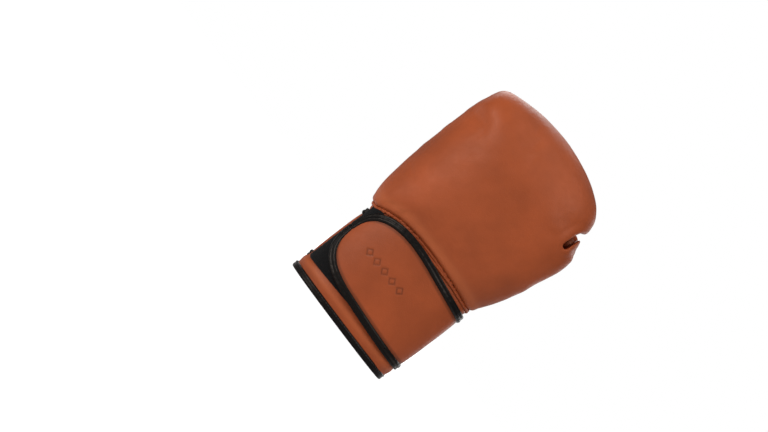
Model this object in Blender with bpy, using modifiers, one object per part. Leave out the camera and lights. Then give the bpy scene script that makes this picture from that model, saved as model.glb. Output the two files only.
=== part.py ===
"""A left-hand training boxing glove with a wrap-round wrist strap.

The glove stands on the hem of its cuff. +Z runs from the hem to the knuckles, -Y is the
back of the hand, +Y is the palm and +X is the thumb side. All sizes are in metres.

From outside to inside the glove is leather, foam padding and a fabric lining. The padding
of the back is one thick slab that runs up the hand and curls over the knuckles, so that
its free end is the roll that overhangs the palm. The cuff is a padded oval tube, slit on
the palm side. A strap that is sewn to the cuff on the little-finger side crosses the slit,
turns round the thumb side and crosses the back, where it closes on a hook-and-loop pad.
It peels open about two upright hinge lines, one at each end of its turn.
"""

import math

import bmesh
import bpy
from mathutils import Vector

# ---- driving dimensions -------------------------------------------------------------------
GAP = 0.0004  # clearance between pieces that touch
LEATHER = 0.0016
SLIT_HALF = 0.003

# Cuff: an oval tube whose outer surface has these half widths at the hem and at the wrist.
CUFF_HALF_X = (0.067, 0.0655)
CUFF_HALF_Y = (0.036, 0.035)
CUFF_POWER = 2.5
CUFF_FOAM = 0.008
LINING = 0.0008
HEM_HEIGHT = 0.0065
HEM_PROUD = 0.0016
SIDE_LINE = math.radians(10)  # the mitt's back begins this far behind the line of the sides

# Wrist line, where the mitt meets the cuff: it is highest at the middle of the back.
WRIST_BACK = 0.1115
WRIST_PALM = 0.100
WRIST_DROP_LITTLE = 0.0125
WRIST_DROP_THUMB = 0.0045
WELT_RADIUS = 0.0015

# Strap, as angles round the cuff from +X: sewn end, first hinge and second hinge.
STRAP_START = math.radians(186)
STRAP_SIDE = math.radians(30)
STRAP_BACK = math.radians(-30)
FLAP_END_X = -0.0600
STRAP_BOTTOM = 0.0215
STRAP_TOP = (0.0875, 0.1065)  # at the anchor and at the middle of the back
STRAP_PANEL = 0.0020
STRAP_OUTSET = 0.0036  # from the cuff to the strap's inner face
BINDING_RADIUS = 0.0028
TAPE = 0.0011  # thickness of the hook tape and of the loop tape
HINGE_OUTSET = 0.0074

# Mitt: the curl of the back padding turns about this axis, which runs along X.
CURL_Y = 0.008
CURL_Z = 0.2095
CURL_RADIUS = 0.020
PALM_BACK = -0.0114
PALM_FOAM = 0.0085
PALM_TOP = 0.205
VENT_TOP = 0.163
VENT_HALF = (0.0060, 0.0088)  # half width of the vent at the wrist and near its top
PATCH = 0.0012
GRIP_BAR_RADIUS = 0.0065
GRIP_BAR_Z = 0.190

TAN = (0.60, 0.22, 0.09, 1.0)
TAN_DARK = (0.46, 0.15, 0.06, 1.0)
BLACK = (0.012, 0.013, 0.015, 1.0)
FOAM_GREY = (0.30, 0.30, 0.32, 1.0)
SATIN_BLACK = (0.03, 0.03, 0.035, 1.0)


# ---- scene and materials ------------------------------------------------------------------
def clear_scene():
    for item in list(bpy.data.objects):
        bpy.data.objects.remove(item, do_unlink=True)


def new_collection(name):
    collection = bpy.data.collections.new(name)
    bpy.context.scene.collection.children.link(collection)
    return collection


def material(name, colour, roughness, metallic=0.0):
    made = bpy.data.materials.new(name)
    made.use_nodes = True
    shader = made.node_tree.nodes["Principled BSDF"]
    shader.inputs["Base Color"].default_value = colour
    shader.inputs["Roughness"].default_value = roughness
    shader.inputs["Metallic"].default_value = metallic
    return made


clear_scene()
GLOVE = new_collection("boxing_glove")
CUTTERS = new_collection("cutters")
LEATHER_TAN = material("leather_tan", TAN, 0.42)
LEATHER_DARK = material("leather_tan_inner", TAN_DARK, 0.50)
BINDING_BLACK = material("binding_black", BLACK, 0.35)
TAPE_BLACK = material("hook_and_loop_black", BLACK, 0.95)
FOAM = material("foam_grey", FOAM_GREY, 0.90)
SATIN = material("lining_satin", SATIN_BLACK, 0.55)


# ---- general helpers ----------------------------------------------------------------------
def lerp(pair, share):
    return pair[0] + (pair[1] - pair[0]) * share


def smooth(share):
    share = min(max(share, 0.0), 1.0)
    return share * share * (3 - 2 * share)


def profile(stations, at):
    """The values of a list of stations (place, value, ...) at a place, in proportion between them."""
    if at <= stations[0][0]:
        return stations[0][1:]
    for low, high in zip(stations, stations[1:]):
        if at <= high[0]:
            share = (at - low[0]) / (high[0] - low[0])
            return tuple(a + (b - a) * share for a, b in zip(low[1:], high[1:]))
    return stations[-1][1:]


def spread(low, high, count):
    return [low + (high - low) * i / (count - 1) for i in range(count)]


def add_object(name, mesh, finish):
    item = bpy.data.objects.new(name, mesh)
    GLOVE.objects.link(item)
    if finish is not None:
        mesh.materials.append(finish)
    return item


def shade(mesh, angle=40):
    mesh.shade_smooth()
    mesh.set_sharp_from_angle(angle=math.radians(angle))


def ring_surface(rings):
    """A surface through closed rings of points, open at both ends, as a bmesh."""
    build = bmesh.new()
    corners = [[build.verts.new(point) for point in ring] for ring in rings]
    count = len(rings[0])
    for low, high in zip(corners, corners[1:]):
        for i in range(count):
            j = (i + 1) % count
            build.faces.new((low[i], low[j], high[j], high[i]))
    build.verts.ensure_lookup_table()
    return build


def bag(name, rings, thickness, finish):
    """A sheet through closed rings whose normals point out, open below and closed above."""
    mesh = bpy.data.meshes.new(name)
    build = ring_surface(rings)
    build.faces.new(build.verts[-len(rings[0]) :])
    build.to_mesh(mesh)
    build.free()
    shade(mesh)
    item = add_object(name, mesh, finish)
    solid = item.modifiers.new("thickness", "SOLIDIFY")
    solid.thickness = thickness
    solid.offset = -1
    solid.use_even_offset = True
    return item


def closed_loft(name, rings, finish):
    """A solid through closed rings of points. Each end is closed by strips across its ring."""
    mesh = bpy.data.meshes.new(name)
    build = ring_surface(rings)
    count = len(rings[0])
    for end in (build.verts[:count], build.verts[-count:]):
        for i in range(count // 2):
            corners = (end[i], end[i + 1], end[-i - 1], end[-i] if i else end[0])
            build.faces.new(list(dict.fromkeys(corners)))
    bmesh.ops.recalc_face_normals(build, faces=build.faces)
    build.to_mesh(mesh)
    build.free()
    shade(mesh)
    return add_object(name, mesh, finish)


def thick_wall(name, outer, inner, finish):
    """A solid wall between two grids of points of the same size."""
    mesh = bpy.data.meshes.new(name)
    build = bmesh.new()
    sides = [[[build.verts.new(p) for p in row] for row in rows] for rows in (outer, inner)]
    for side, turn in zip(sides, (1, -1)):
        for low, high in zip(side, side[1:]):
            for i in range(len(low) - 1):
                build.faces.new((low[i], low[i + 1], high[i + 1], high[i])[::turn])
    out, into = sides
    edges = [
        (out[0], into[0]),
        (out[-1], into[-1]),
        ([row[0] for row in out], [row[0] for row in into]),
        ([row[-1] for row in out], [row[-1] for row in into]),
    ]
    for outside, inside in edges:
        for i in range(len(outside) - 1):
            build.faces.new((outside[i], outside[i + 1], inside[i + 1], inside[i]))
    bmesh.ops.recalc_face_normals(build, faces=build.faces)
    build.to_mesh(mesh)
    build.free()
    shade(mesh)
    return add_object(name, mesh, finish)


def tube(name, points, radius, finish, radii=None, sides=2):
    """A round cord of leather, fabric or thread along a list of points."""
    curve = bpy.data.curves.new(name, "CURVE")
    curve.dimensions = "3D"
    curve.bevel_depth = radius
    curve.bevel_resolution = sides
    curve.use_fill_caps = True
    line = curve.splines.new("POLY")
    line.points.add(len(points) - 1)
    for i, point in enumerate(points):
        line.points[i].co = (*point, 1.0)
        if radii:
            line.points[i].radius = radii[i] / radius
    line.use_smooth = True
    curve.materials.append(finish)
    item = bpy.data.objects.new(name, curve)
    GLOVE.objects.link(item)
    return item


def cut(item, cutter):
    """Takes the cutter's shape out of a piece. The cutter itself is never shown."""
    for collection in list(cutter.users_collection):
        collection.objects.unlink(cutter)
    CUTTERS.objects.link(cutter)
    cutter.hide_render = True
    cutter.display_type = "WIRE"
    modifier = item.modifiers.new("cut_" + cutter.name, "BOOLEAN")
    modifier.operation = "DIFFERENCE"
    modifier.object = cutter


# ---- cuff ---------------------------------------------------------------------------------
def oval(angle, half_x, half_y, power):
    """A point on a superellipse in the direction of an angle from +X."""
    c, s = math.cos(angle), math.sin(angle)
    reach = ((abs(c) / half_x) ** power + (abs(s) / half_y) ** power) ** (-1 / power)
    return reach * c, reach * s


def round_box(angle, half_x, half_y, power):
    """A point on a superellipse, with the points spread along its flat sides."""
    c, s = math.cos(angle), math.sin(angle)
    x = half_x * math.copysign(abs(c) ** (2 / power), c)
    return x, half_y * math.copysign(abs(s) ** (2 / power), s)


def cuff_point(angle, z, inset=0.0):
    share = min(z / WRIST_BACK, 1.0)
    x, y = oval(angle, lerp(CUFF_HALF_X, share) - inset, lerp(CUFF_HALF_Y, share) - inset, CUFF_POWER)
    return x, y, z


def wrist_line(x, y):
    """The height of the seam between mitt and cuff."""
    half, drop = CUFF_HALF_X[1], WRIST_DROP_THUMB if x > 0 else WRIST_DROP_LITTLE
    side = WRIST_BACK - drop * min(abs(x) / half, 1.0) ** 3
    return side + (WRIST_PALM - side) * smooth(y / CUFF_HALF_Y[1])


def cuff_top(angle):
    x, y, _ = cuff_point(angle, WRIST_BACK)
    return wrist_line(x, y) - 2 * WELT_RADIUS - 3 * GAP


SLIT = math.asin(SLIT_HALF / CUFF_HALF_Y[0])


def cuff_rows(angles, inset, bottom):
    rows = []
    for share in spread(0, 1, 5):
        rows.append([cuff_point(a, bottom + (cuff_top(a) - bottom) * share, inset) for a in angles])
    return rows


def cuff():
    """The leather, padding, lining and hem binding, from one edge of the slit to the other."""
    angles = spread(math.pi / 2 + SLIT, 5 * math.pi / 2 - SLIT, 57)
    foam_in = LEATHER + GAP
    lining_in = foam_in + CUFF_FOAM + GAP
    above_hem = HEM_HEIGHT + GAP
    layers = (
        ("cuff_shell", 0, LEATHER, LEATHER_TAN),
        ("cuff_padding", foam_in, CUFF_FOAM, FOAM),
        ("cuff_lining", lining_in, LINING, SATIN),
    )
    made = []
    for name, inset, thickness, finish in layers:
        outer = cuff_rows(angles, inset, above_hem)
        inner = cuff_rows(angles, inset + thickness, above_hem)
        made.append(thick_wall(name, outer, inner, finish))
    levels = list(zip((0, HEM_HEIGHT / 2, HEM_HEIGHT), (0, HEM_PROUD, 0.6 * HEM_PROUD)))
    outer = [[cuff_point(a, z, -bulge) for a in angles] for z, bulge in levels]
    inner = [[cuff_point(a, z, lining_in + LINING + bulge) for a in angles] for z, bulge in levels]
    made.append(thick_wall("hem_binding", outer, inner, BINDING_BLACK))
    return made


# ---- strap --------------------------------------------------------------------------------
def strap_top(angle):
    """The strap's upper edge climbs from the anchor to the middle of the back."""
    share = (STRAP_START - angle) / (STRAP_START + math.pi / 2)
    return lerp(STRAP_TOP, smooth(share) ** 1.2)


def strap_edges(angle, inset=0.0):
    """Heights of the centre lines of the two bindings, or of edges that far inside them."""
    low = STRAP_BOTTOM + BINDING_RADIUS + inset
    high = strap_top(angle) - BINDING_RADIUS - inset
    x = cuff_point(angle, WRIST_BACK)[0]
    if angle < STRAP_BACK and x < 0:
        # The flap ends in a broad rounded nose.
        reach = min(x / (FLAP_END_X + inset), 1.0)
        narrow = (1 - reach**3.2) ** (1 / 3.2)
        middle, half = (low + high) / 2, (high - low) / 2
        low, high = middle - half * narrow, middle + half * narrow
    return low, high


def strap_panel(name, angles, finish=LEATHER_TAN, outset=STRAP_OUTSET, thickness=STRAP_PANEL, margin=0.0):
    """A panel between the bindings, or that margin inside them, through the given angles."""
    inset = BINDING_RADIUS + GAP + margin
    walls = []
    for out in (outset + thickness, outset):
        columns = []
        for angle in angles:
            low, high = strap_edges(angle, inset)
            columns.append([cuff_point(angle, z, -out) for z in spread(low, high, 4)])
        walls.append([list(row) for row in zip(*columns)])
    return thick_wall(name, walls[0], walls[1], finish)


def binding_point(angle, z):
    return cuff_point(angle, z, -STRAP_OUTSET - STRAP_PANEL / 2)


def strap_binding(name, angles, upper):
    points = [binding_point(a, strap_edges(a)[1 if upper else 0]) for a in angles]
    return tube(name, points, BINDING_RADIUS, BINDING_BLACK)


def strap_section(name, start, end, count):
    """A plain length of strap: its panel and the binding along each edge."""
    angles = spread(start, end, count)
    return [
        strap_panel(name + "_panel", angles),
        strap_binding(name + "_binding_upper", angles, True),
        strap_binding(name + "_binding_lower", angles, False),
    ]


def angle_at_x(x):
    """The angle on the back of the cuff at which its surface has that X."""
    low, high = -math.pi + 0.01, -0.01
    for _ in range(40):
        middle = (low + high) / 2
        low, high = (middle, high) if cuff_point(middle, WRIST_BACK)[0] < x else (low, middle)
    return (low + high) / 2


def strap_flap(start):
    """The closing end of the strap, with one binding round its nose and the hook tape."""
    nose = angle_at_x(FLAP_END_X)
    straight = spread(start, angle_at_x(0), 9)
    turns = spread(0, math.pi / 2, 12)[1:-1]
    angles = straight + [angle_at_x(FLAP_END_X * math.sin(turn)) for turn in turns]
    panel_length = FLAP_END_X + BINDING_RADIUS + GAP
    panel_angles = straight + [angle_at_x(panel_length * math.sin(turn)) for turn in turns]
    middle = sum(strap_edges(nose)) / 2
    under = [binding_point(a, strap_edges(a)[0]) for a in angles]
    over = [binding_point(a, strap_edges(a)[1]) for a in angles]
    outline = under + [binding_point(nose, middle)] + over[::-1]
    return [
        strap_panel("strap_flap_panel", panel_angles),
        tube("strap_flap_binding", outline, BINDING_RADIUS, BINDING_BLACK),
        strap_panel(
            "hook_tape",
            spread(angle_at_x(0.020), angle_at_x(-0.047), 14),
            TAPE_BLACK,
            STRAP_OUTSET - TAPE - GAP,
            TAPE,
            0.006,
        ),
    ]


def loop_pad():
    """The loop pad on the back of the cuff, which the flap closes on."""
    angles = spread(math.pi + math.radians(11.5), math.pi + math.radians(125), 20)
    heights = spread(0.019, 0.093, 5)
    return thick_wall(
        "loop_pad",
        [[cuff_point(a, z, -GAP - TAPE) for a in angles] for z in heights],
        [[cuff_point(a, z, -GAP) for a in angles] for z in heights],
        TAPE_BLACK,
    )


# ---- mitt: back ---------------------------------------------------------------------------
# Along the slab's inner face: turn about the curl's axis in degrees (or the height, below
# the curl), then the little-finger edge, the thumb edge, the middle of the thickness
# and half the thickness.
SLAB_SIDES = 32
BACK_STRAIGHT = (
    (0.1115, -0.0660, 0.0640, 0.0105, 0.0105),
    (0.1200, -0.0730, 0.0690, 0.0130, 0.0130),
    (0.1400, -0.0790, 0.0760, 0.0160, 0.0160),
    (0.1650, -0.0820, 0.0800, 0.0180, 0.0180),
    (0.1900, -0.0835, 0.0800, 0.0195, 0.0195),
    (0.2095, -0.0830, 0.0770, 0.0205, 0.0205),
)
BACK_CURLED = (
    (0, -0.0830, 0.0770, 0.0205, 0.0205),
    (50, -0.0815, 0.0760, 0.0225, 0.0225),
    (90, -0.0800, 0.0740, 0.0230, 0.0230),
    (125, -0.0770, 0.0700, 0.0225, 0.0225),
    (150, -0.0735, 0.0650, 0.0215, 0.0215),
    (172, -0.0690, 0.0590, 0.0200, 0.0190),
    (186, -0.0620, 0.0520, 0.0195, 0.0145),
    (193, -0.0500, 0.0420, 0.0195, 0.0080),
)


def slab_point(where, angle, grow=0.0):
    """A point of the slab's section. Angle 0 is the thumb edge, 90 degrees the outer face."""
    turn, left, right, middle, half = where
    little_side = math.cos(angle) < 0
    if math.sin(angle) > 0:
        power = 2.8 if little_side else 2.2
    else:
        power = 4.0 if little_side else 2.4
    x, n = round_box(angle, (right - left) / 2 + grow, half + grow, power)
    out = middle + n
    x += (left + right) / 2
    if isinstance(turn, tuple):
        height = turn[0]
        z = height + (wrist_line(x, -1) - WRIST_BACK) * turn[1]
        return x, CURL_Y - CURL_RADIUS - out, z
    reach = CURL_RADIUS + out
    return x, CURL_Y - reach * math.cos(turn), CURL_Z + reach * math.sin(turn)


def slab_sections(straight=9, curled=15):
    """The stations of the slab from the wrist over the knuckles to the end of the roll."""
    found = []
    for z in spread(BACK_STRAIGHT[0][0], BACK_STRAIGHT[-1][0], straight)[:-1]:
        arch = 1 - smooth((z - WRIST_BACK) / 0.05)
        found.append(((z, arch), *profile(BACK_STRAIGHT, z)))
    for degrees in spread(0, BACK_CURLED[-1][0], curled):
        found.append((math.radians(degrees), *profile(BACK_CURLED, degrees)))
    return found


def mitt_back():
    """The slab of padding and the leather over its outer face and both of its edges."""
    around = [2 * math.pi * i / SLAB_SIDES for i in range(SLAB_SIDES)]
    sections = slab_sections()
    padding = closed_loft("back_padding", [[slab_point(s, a) for a in around] for s in sections], FOAM)
    outside = [2 * math.pi * i / SLAB_SIDES for i in range(-1, SLAB_SIDES // 2 + 2)]
    panel = thick_wall(
        "back_panel",
        [[slab_point(s, a, GAP + LEATHER) for a in outside] for s in sections],
        [[slab_point(s, a, 1.6 * GAP) for a in outside] for s in sections],
        LEATHER_TAN,
    )
    return [padding, panel]


def finger_gusset(name, x, radius):
    """A flat leather panel that closes one end of the finger space inside the curl."""
    curve = bpy.data.curves.new(name, "CURVE")
    curve.dimensions = "2D"
    curve.fill_mode = "BOTH"
    curve.extrude = LEATHER / 2
    line = curve.splines.new("POLY")
    low = math.radians(-8)
    turns = spread(low, math.pi - low, 20)
    line.points.add(len(turns) - 1)
    for point, turn in zip(line.points, turns):
        point.co = (radius * math.cos(turn), radius * math.sin(turn), 0, 1)
    line.use_cyclic_u = True
    curve.materials.append(LEATHER_DARK)
    item = bpy.data.objects.new(name, curve)
    item.location = (x, CURL_Y, CURL_Z)
    item.rotation_euler = (math.pi / 2, 0, math.pi / 2)
    GLOVE.objects.link(item)
    return item


# ---- mitt: palm ---------------------------------------------------------------------------
# Height, little-finger edge, thumb edge, height of the palm surface at its middle.
PALM_STATIONS = (
    (0.1000, -0.0640, 0.0425, 0.0330),
    (0.1150, -0.0720, 0.0420, 0.0350),
    (0.1300, -0.0770, 0.0415, 0.0380),
    (0.1500, -0.0795, 0.0415, 0.0400),
    (0.1700, -0.0805, 0.0430, 0.0380),
    (0.1850, -0.0810, 0.0460, 0.0330),
    (0.2050, -0.0800, 0.0520, 0.0260),
)
PALM_BOTTOM = 0.101
PALM_BANDS = (
    ("palm_panel", PALM_BOTTOM, 0.1815, 10),
    ("grip_band_lower", 0.1820, 0.1990, 3),
    ("grip_band_upper", 0.1995, 0.2055, 2),
)
PALM_THUMB_HALF = 0.068  # the palm's curve would reach this far out under the thumb


def palm_point(share, z, inset=0.0):
    """A point of the palm surface: share 0 is the little-finger edge and 1 the thumb edge."""
    left, right, top = profile(PALM_STATIONS, z)
    left, top = left + inset, top - inset
    start, end = math.pi, math.acos(min(right / PALM_THUMB_HALF, 1.0))
    angle = start + (end - start) * share
    half = -left if angle > math.pi / 2 else PALM_THUMB_HALF - inset
    x = min(half * math.copysign(abs(math.cos(angle)) ** 0.8, math.cos(angle)), right)
    rise = (1 - (abs(x) / half) ** 2.6) ** (1 / 2.6)
    return x, PALM_BACK + (top - PALM_BACK) * rise, z


def palm_grid(low, high, rows, inset):
    shares = spread(0, 1, 21)
    return [[palm_point(s, z, inset) for s in shares] for z in spread(low, high, rows)]


def palm_depth(z):
    return profile(PALM_STATIONS, z)[2]


def vent_cutter(name, grow):
    """A slot through the palm, round at the top and slightly narrower at the wrist."""
    low, high = (half + grow for half in VENT_HALF)
    straight_top = VENT_TOP - VENT_HALF[1]
    outline = [(-low, 0.090), (low, 0.090)]
    outline += [
        (high * math.cos(a), straight_top + high * math.sin(a)) for a in spread(0, math.pi, 11)
    ]
    rings = [[(x, y, z) for x, z in outline] for y in (0.012, 0.060)]
    return closed_loft(name, rings, None)


def palm_panels():
    """The padding, the main palm panel and the two grip bands above it."""
    padding = thick_wall(
        "palm_padding",
        palm_grid(PALM_BOTTOM, PALM_TOP, 12, 0.0),
        palm_grid(PALM_BOTTOM, PALM_TOP, 12, PALM_FOAM),
        FOAM,
    )
    cut(padding, vent_cutter("vent_slot_padding", GAP))
    made = [padding]
    for name, low, high, rows in PALM_BANDS:
        made.append(
            thick_wall(
                name,
                palm_grid(low, high, rows, -GAP - LEATHER),
                palm_grid(low, high, rows, -GAP),
                LEATHER_TAN,
            )
        )
    cut(made[1], vent_cutter("vent_slot_panel", GAP))
    return made


def vent_patch():
    """The U-shaped reinforcement sewn round the vent."""
    half, top = 0.0225, 0.1760
    walls = []
    for outset in (LEATHER + 3 * GAP + PATCH, LEATHER + 3 * GAP):
        rows = []
        for z in spread(PALM_BOTTOM, top, 11):
            over = max((z - top + half) / half, 0)
            reach = half * math.sqrt(max(1 - over * over, 0.02))
            rows.append([surface_at(x, z, outset) for x in spread(reach, -reach, 12)])
        walls.append(rows)
    patch = thick_wall("vent_patch", walls[0], walls[1], LEATHER_TAN)
    cut(patch, vent_cutter("vent_slot_patch", GAP))
    return patch


def surface_at(x, z, outset):
    """The point of the palm, grown by outset, above a place near its middle."""
    left, _, top = profile(PALM_STATIONS, z)
    half = -left + outset if x < 0 else PALM_THUMB_HALF + outset
    rise = (1 - (abs(x) / half) ** 2.6) ** (1 / 2.6)
    return x, PALM_BACK + (top + outset - PALM_BACK) * rise, z


def vent_bindings():
    """Two padded rolls that close the vent, each thicker towards its top."""
    made = []
    for name, side in (("vent_roll_thumb", 1), ("vent_roll_little", -1)):
        heights = spread(0.1005, VENT_TOP - 0.0035, 12)
        points, radii = [], []
        for z in heights:
            share = smooth((z - 0.100) / 0.045)
            radius = lerp(VENT_HALF, share) / 2 - GAP
            end = (heights[-1] - z) / 0.008
            if end < 1:
                radius *= 0.35 + 0.65 * math.sqrt(max(1 - (1 - end) ** 2, 0.0))
            points.append((side * (radius + GAP), palm_depth(z) - 0.0025, z))
            radii.append(radius)
        made.append(tube(name, points, VENT_HALF[1] / 2, BINDING_BLACK, radii))
    return made


# ---- mitt: hand space ---------------------------------------------------------------------
BAG_BACK = -0.0105
BAG_FROM_PADDING = 3 * GAP
# Height, thumb side, and how far the bag stands off the palm padding, to pass the grip bar.
BAG_STATIONS = (
    (0.1040, 0.0385, 0.0000),
    (0.1300, 0.0390, 0.0000),
    (0.1500, 0.0390, 0.0000),
    (0.1680, 0.0390, 0.0020),
    (0.1790, 0.0400, 0.0140),
    (0.1900, 0.0420, 0.0145),
    (0.2000, 0.0440, 0.0140),
)
# Above the palm, inside the curl: height, little-finger side, thumb side, back, palm.
FINGERTIPS = (
    (0.2070, -0.0640, 0.0470, -0.0105, 0.0180),
    (0.2150, -0.0640, 0.0480, -0.0090, 0.0240),
    (0.2220, -0.0630, 0.0470, -0.0045, 0.0195),
    (0.2258, -0.0610, 0.0450, 0.0000, 0.0150),
)


def bag_ring(left, right, z, back_y, palm_y):
    """A ring of the bag: over the palm side, then straight back behind the hand."""
    ring = []
    for turn in spread(math.pi, 0, 15):
        x = (left + right) / 2 + (right - left) / 2 * math.cos(turn)
        ring.append((x, palm_y(x, turn), z))
    ring += [(x, back_y, z) for x in spread(right - 0.002, left + 0.002, 9)]
    return ring[::-1]


def hand_lining():
    """A fabric bag for the hand, closed over the fingertips, with a hole for the thumb."""
    rings = []
    lowest = BAG_BACK + 0.004
    for z, right, stand_off in BAG_STATIONS:
        inset = PALM_FOAM + BAG_FROM_PADDING + stand_off
        left = profile(PALM_STATIONS, z)[0] + inset

        def under_palm(x, turn):
            lift = 1 if turn < math.pi / 2 else abs(math.sin(turn)) ** 0.3
            y = surface_at(x, z, -inset)[1] if x > left + 0.0001 else PALM_BACK
            return max(lowest + (y - lowest) * lift, lowest)

        rings.append(bag_ring(left, right, z, BAG_BACK, under_palm))
    for z, left, right, back_y, palm_y in FINGERTIPS:

        def over_fingers(x, turn):
            return palm_y - (palm_y - back_y - 0.004) * (1 - abs(math.sin(turn)) ** 0.4)

        rings.append(bag_ring(left, right, z, back_y, over_fingers))
    lining = bag("hand_lining", rings, LINING, SATIN)
    bpy.ops.mesh.primitive_cylinder_add(
        vertices=24, radius=0.012, depth=0.016, location=(0.040, 0.009, 0.143), rotation=(0, math.pi / 2, 0)
    )
    hole = bpy.context.active_object
    hole.name = "thumb_hole"
    cut(lining, hole)
    return lining


def grip_bar():
    """The firm roll across the palm that the fingers close on."""
    inset = PALM_FOAM + GAP + GRIP_BAR_RADIUS + 0.0004
    points = [surface_at(x, GRIP_BAR_Z, -inset) for x in spread(-0.048, 0.032, 12)]
    return tube("grip_bar", points, GRIP_BAR_RADIUS, SATIN, sides=4)


# ---- thumb --------------------------------------------------------------------------------
# Height, inner side, outer side, back and front of the thumb's outside.
THUMB_STATIONS = (
    (0.1040, 0.0440, 0.0620, -0.0100, 0.0260),
    (0.1150, 0.0435, 0.0700, -0.0110, 0.0310),
    (0.1300, 0.0435, 0.0770, -0.0120, 0.0370),
    (0.1500, 0.0440, 0.0840, -0.0130, 0.0440),
    (0.1700, 0.0465, 0.0875, -0.0130, 0.0480),
    (0.1900, 0.0515, 0.0885, -0.0120, 0.0480),
    (0.2050, 0.0565, 0.0875, -0.0100, 0.0440),
    (0.2160, 0.0620, 0.0845, -0.0065, 0.0370),
    (0.2240, 0.0660, 0.0815, -0.0010, 0.0300),
    (0.2290, 0.0690, 0.0785, 0.0050, 0.0235),
    (0.2310, 0.0715, 0.0755, 0.0105, 0.0180),
)
THUMB_FOAM = 0.0085
THUMB_SKIN = LEATHER + GAP


def thumb_point(angle, z, inset):
    """A point of the thumb's section. Angle 0 is its outer side and 90 degrees its palm side."""
    inner, outer, back, front = profile(THUMB_STATIONS, z)
    half_x = max((outer - inner) / 2 - inset, 0.0008)
    half_y = max((front - back) / 2 - inset, 0.0008)
    x, y = oval(angle, half_x, half_y, 2.3)
    return x + (outer + inner) / 2, y + (front + back) / 2


def thumb_grid(low, high, inset, cover, count=16):
    """Rows of the thumb's surface between two angles; cover is taken off the tip's height."""
    base, tip = THUMB_STATIONS[0][0], THUMB_STATIONS[-1][0]
    rows = []
    for z in spread(base, tip, 14):
        height = base + (z - base) * (tip - cover - base) / (tip - base)
        rows.append([(*thumb_point(a, z, inset), height) for a in spread(low, high, count)])
    return rows


def thumb():
    """The padding is open towards the hand. Leather covers it in an outer and an inner panel."""
    low, high = math.radians(-140), math.radians(140)
    reach = math.radians(125)
    padding = thick_wall(
        "thumb_padding",
        thumb_grid(-reach, reach, THUMB_SKIN + GAP, THUMB_SKIN + GAP),
        thumb_grid(-reach, reach, THUMB_SKIN + THUMB_FOAM, THUMB_SKIN + THUMB_FOAM),
        FOAM,
    )
    seam = math.radians(62)
    outer = thick_wall(
        "thumb_outer_panel",
        thumb_grid(low, seam - 0.01, 0, 0),
        thumb_grid(low, seam - 0.01, LEATHER, LEATHER),
        LEATHER_TAN,
    )
    inner = thick_wall(
        "thumb_inner_panel",
        thumb_grid(seam + 0.01, high, 0, 0, 8),
        thumb_grid(seam + 0.01, high, LEATHER, LEATHER, 8),
        LEATHER_DARK,
    )
    return [padding, outer, inner]


def thumb_tab():
    """The short leather strap that ties the tip of the thumb to the mitt."""
    bpy.ops.mesh.primitive_cube_add(size=1, location=(0.0745, -0.0145, 0.2165))
    tab = bpy.context.active_object
    tab.name = "thumb_tab"
    tab.dimensions = (LEATHER, 0.0080, 0.0120)
    bpy.ops.object.transform_apply(location=False, rotation=False, scale=True)
    bevel = tab.modifiers.new("soft_edges", "BEVEL")
    bevel.width = 0.0004
    bevel.segments = 1
    tab.data.materials.append(LEATHER_TAN)
    for collection in list(tab.users_collection):
        collection.objects.unlink(tab)
    GLOVE.objects.link(tab)
    return tab


def wrist_welt():
    """The piping in the seam between the mitt and the back of the cuff."""
    points = []
    for angle in spread(math.pi + SIDE_LINE, 2 * math.pi - SIDE_LINE, 30):
        x, y, _ = cuff_point(angle, WRIST_BACK, WELT_RADIUS)
        points.append((x, y, wrist_line(x, y) - WELT_RADIUS - 1.5 * GAP))
    return tube("wrist_welt", points, WELT_RADIUS, LEATHER_TAN)


# ---- assembly -----------------------------------------------------------------------------
def joint_frame(name, x, y, parent=None):
    """An empty on a joint's axis, which carries the pieces that turn about it."""
    frame = bpy.data.objects.new(name, None)
    frame.empty_display_size = 0.02
    GLOVE.objects.link(frame)
    frame.location = (x, y, 0)
    if parent is not None:
        carry(parent, [frame])
    return frame


def carry(frame, pieces):
    """Parents pieces to a frame without moving them."""
    bpy.context.view_layer.update()
    for piece in pieces:
        piece.parent = frame
        piece.matrix_parent_inverse = frame.matrix_world.inverted()


def assemble():
    side = joint_frame("joint_strap_side", *cuff_point(STRAP_SIDE, 0.055, -HINGE_OUTSET)[:2])
    back = joint_frame("joint_strap_back", *cuff_point(STRAP_BACK, 0.055, -HINGE_OUTSET)[:2], side)
    slack = math.radians(0.7)
    turn = strap_section("strap_side", STRAP_SIDE - slack, STRAP_BACK + slack, 12)
    flap = strap_flap(STRAP_BACK - slack)
    carry(side, turn)
    carry(back, flap)

    fixed = cuff() + mitt_back() + palm_panels() + vent_bindings() + thumb()
    fixed += strap_section("strap_base", STRAP_START, STRAP_SIDE + slack, 34)
    fixed += [
        loop_pad(),
        finger_gusset("finger_gusset_little", -0.0690, CURL_RADIUS - 0.0012),
        finger_gusset("finger_gusset_index", 0.0555, CURL_RADIUS - 0.0012),
        vent_patch(),
        hand_lining(),
        grip_bar(),
        thumb_tab(),
        wrist_welt(),
    ]
    return [side] + fixed


def stand_on_origin(top_level):
    """Puts the origin at the middle of the underside of the whole glove's box."""
    bpy.context.view_layer.update()
    graph = bpy.context.evaluated_depsgraph_get()
    corners = []
    for item in GLOVE.objects:
        if item.type != "EMPTY":
            seen = item.evaluated_get(graph)
            mesh = seen.to_mesh()
            corners += [seen.matrix_world @ vertex.co for vertex in mesh.vertices]
            seen.to_mesh_clear()
    low, high = (Vector([pick(c[k] for c in corners) for k in range(3)]) for pick in (min, max))
    shift = Vector((-(low.x + high.x) / 2, -(low.y + high.y) / 2, -low.z))
    for item in top_level + list(CUTTERS.objects):
        item.location += shift
    bpy.context.view_layer.update()


stand_on_origin(assemble())
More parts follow.
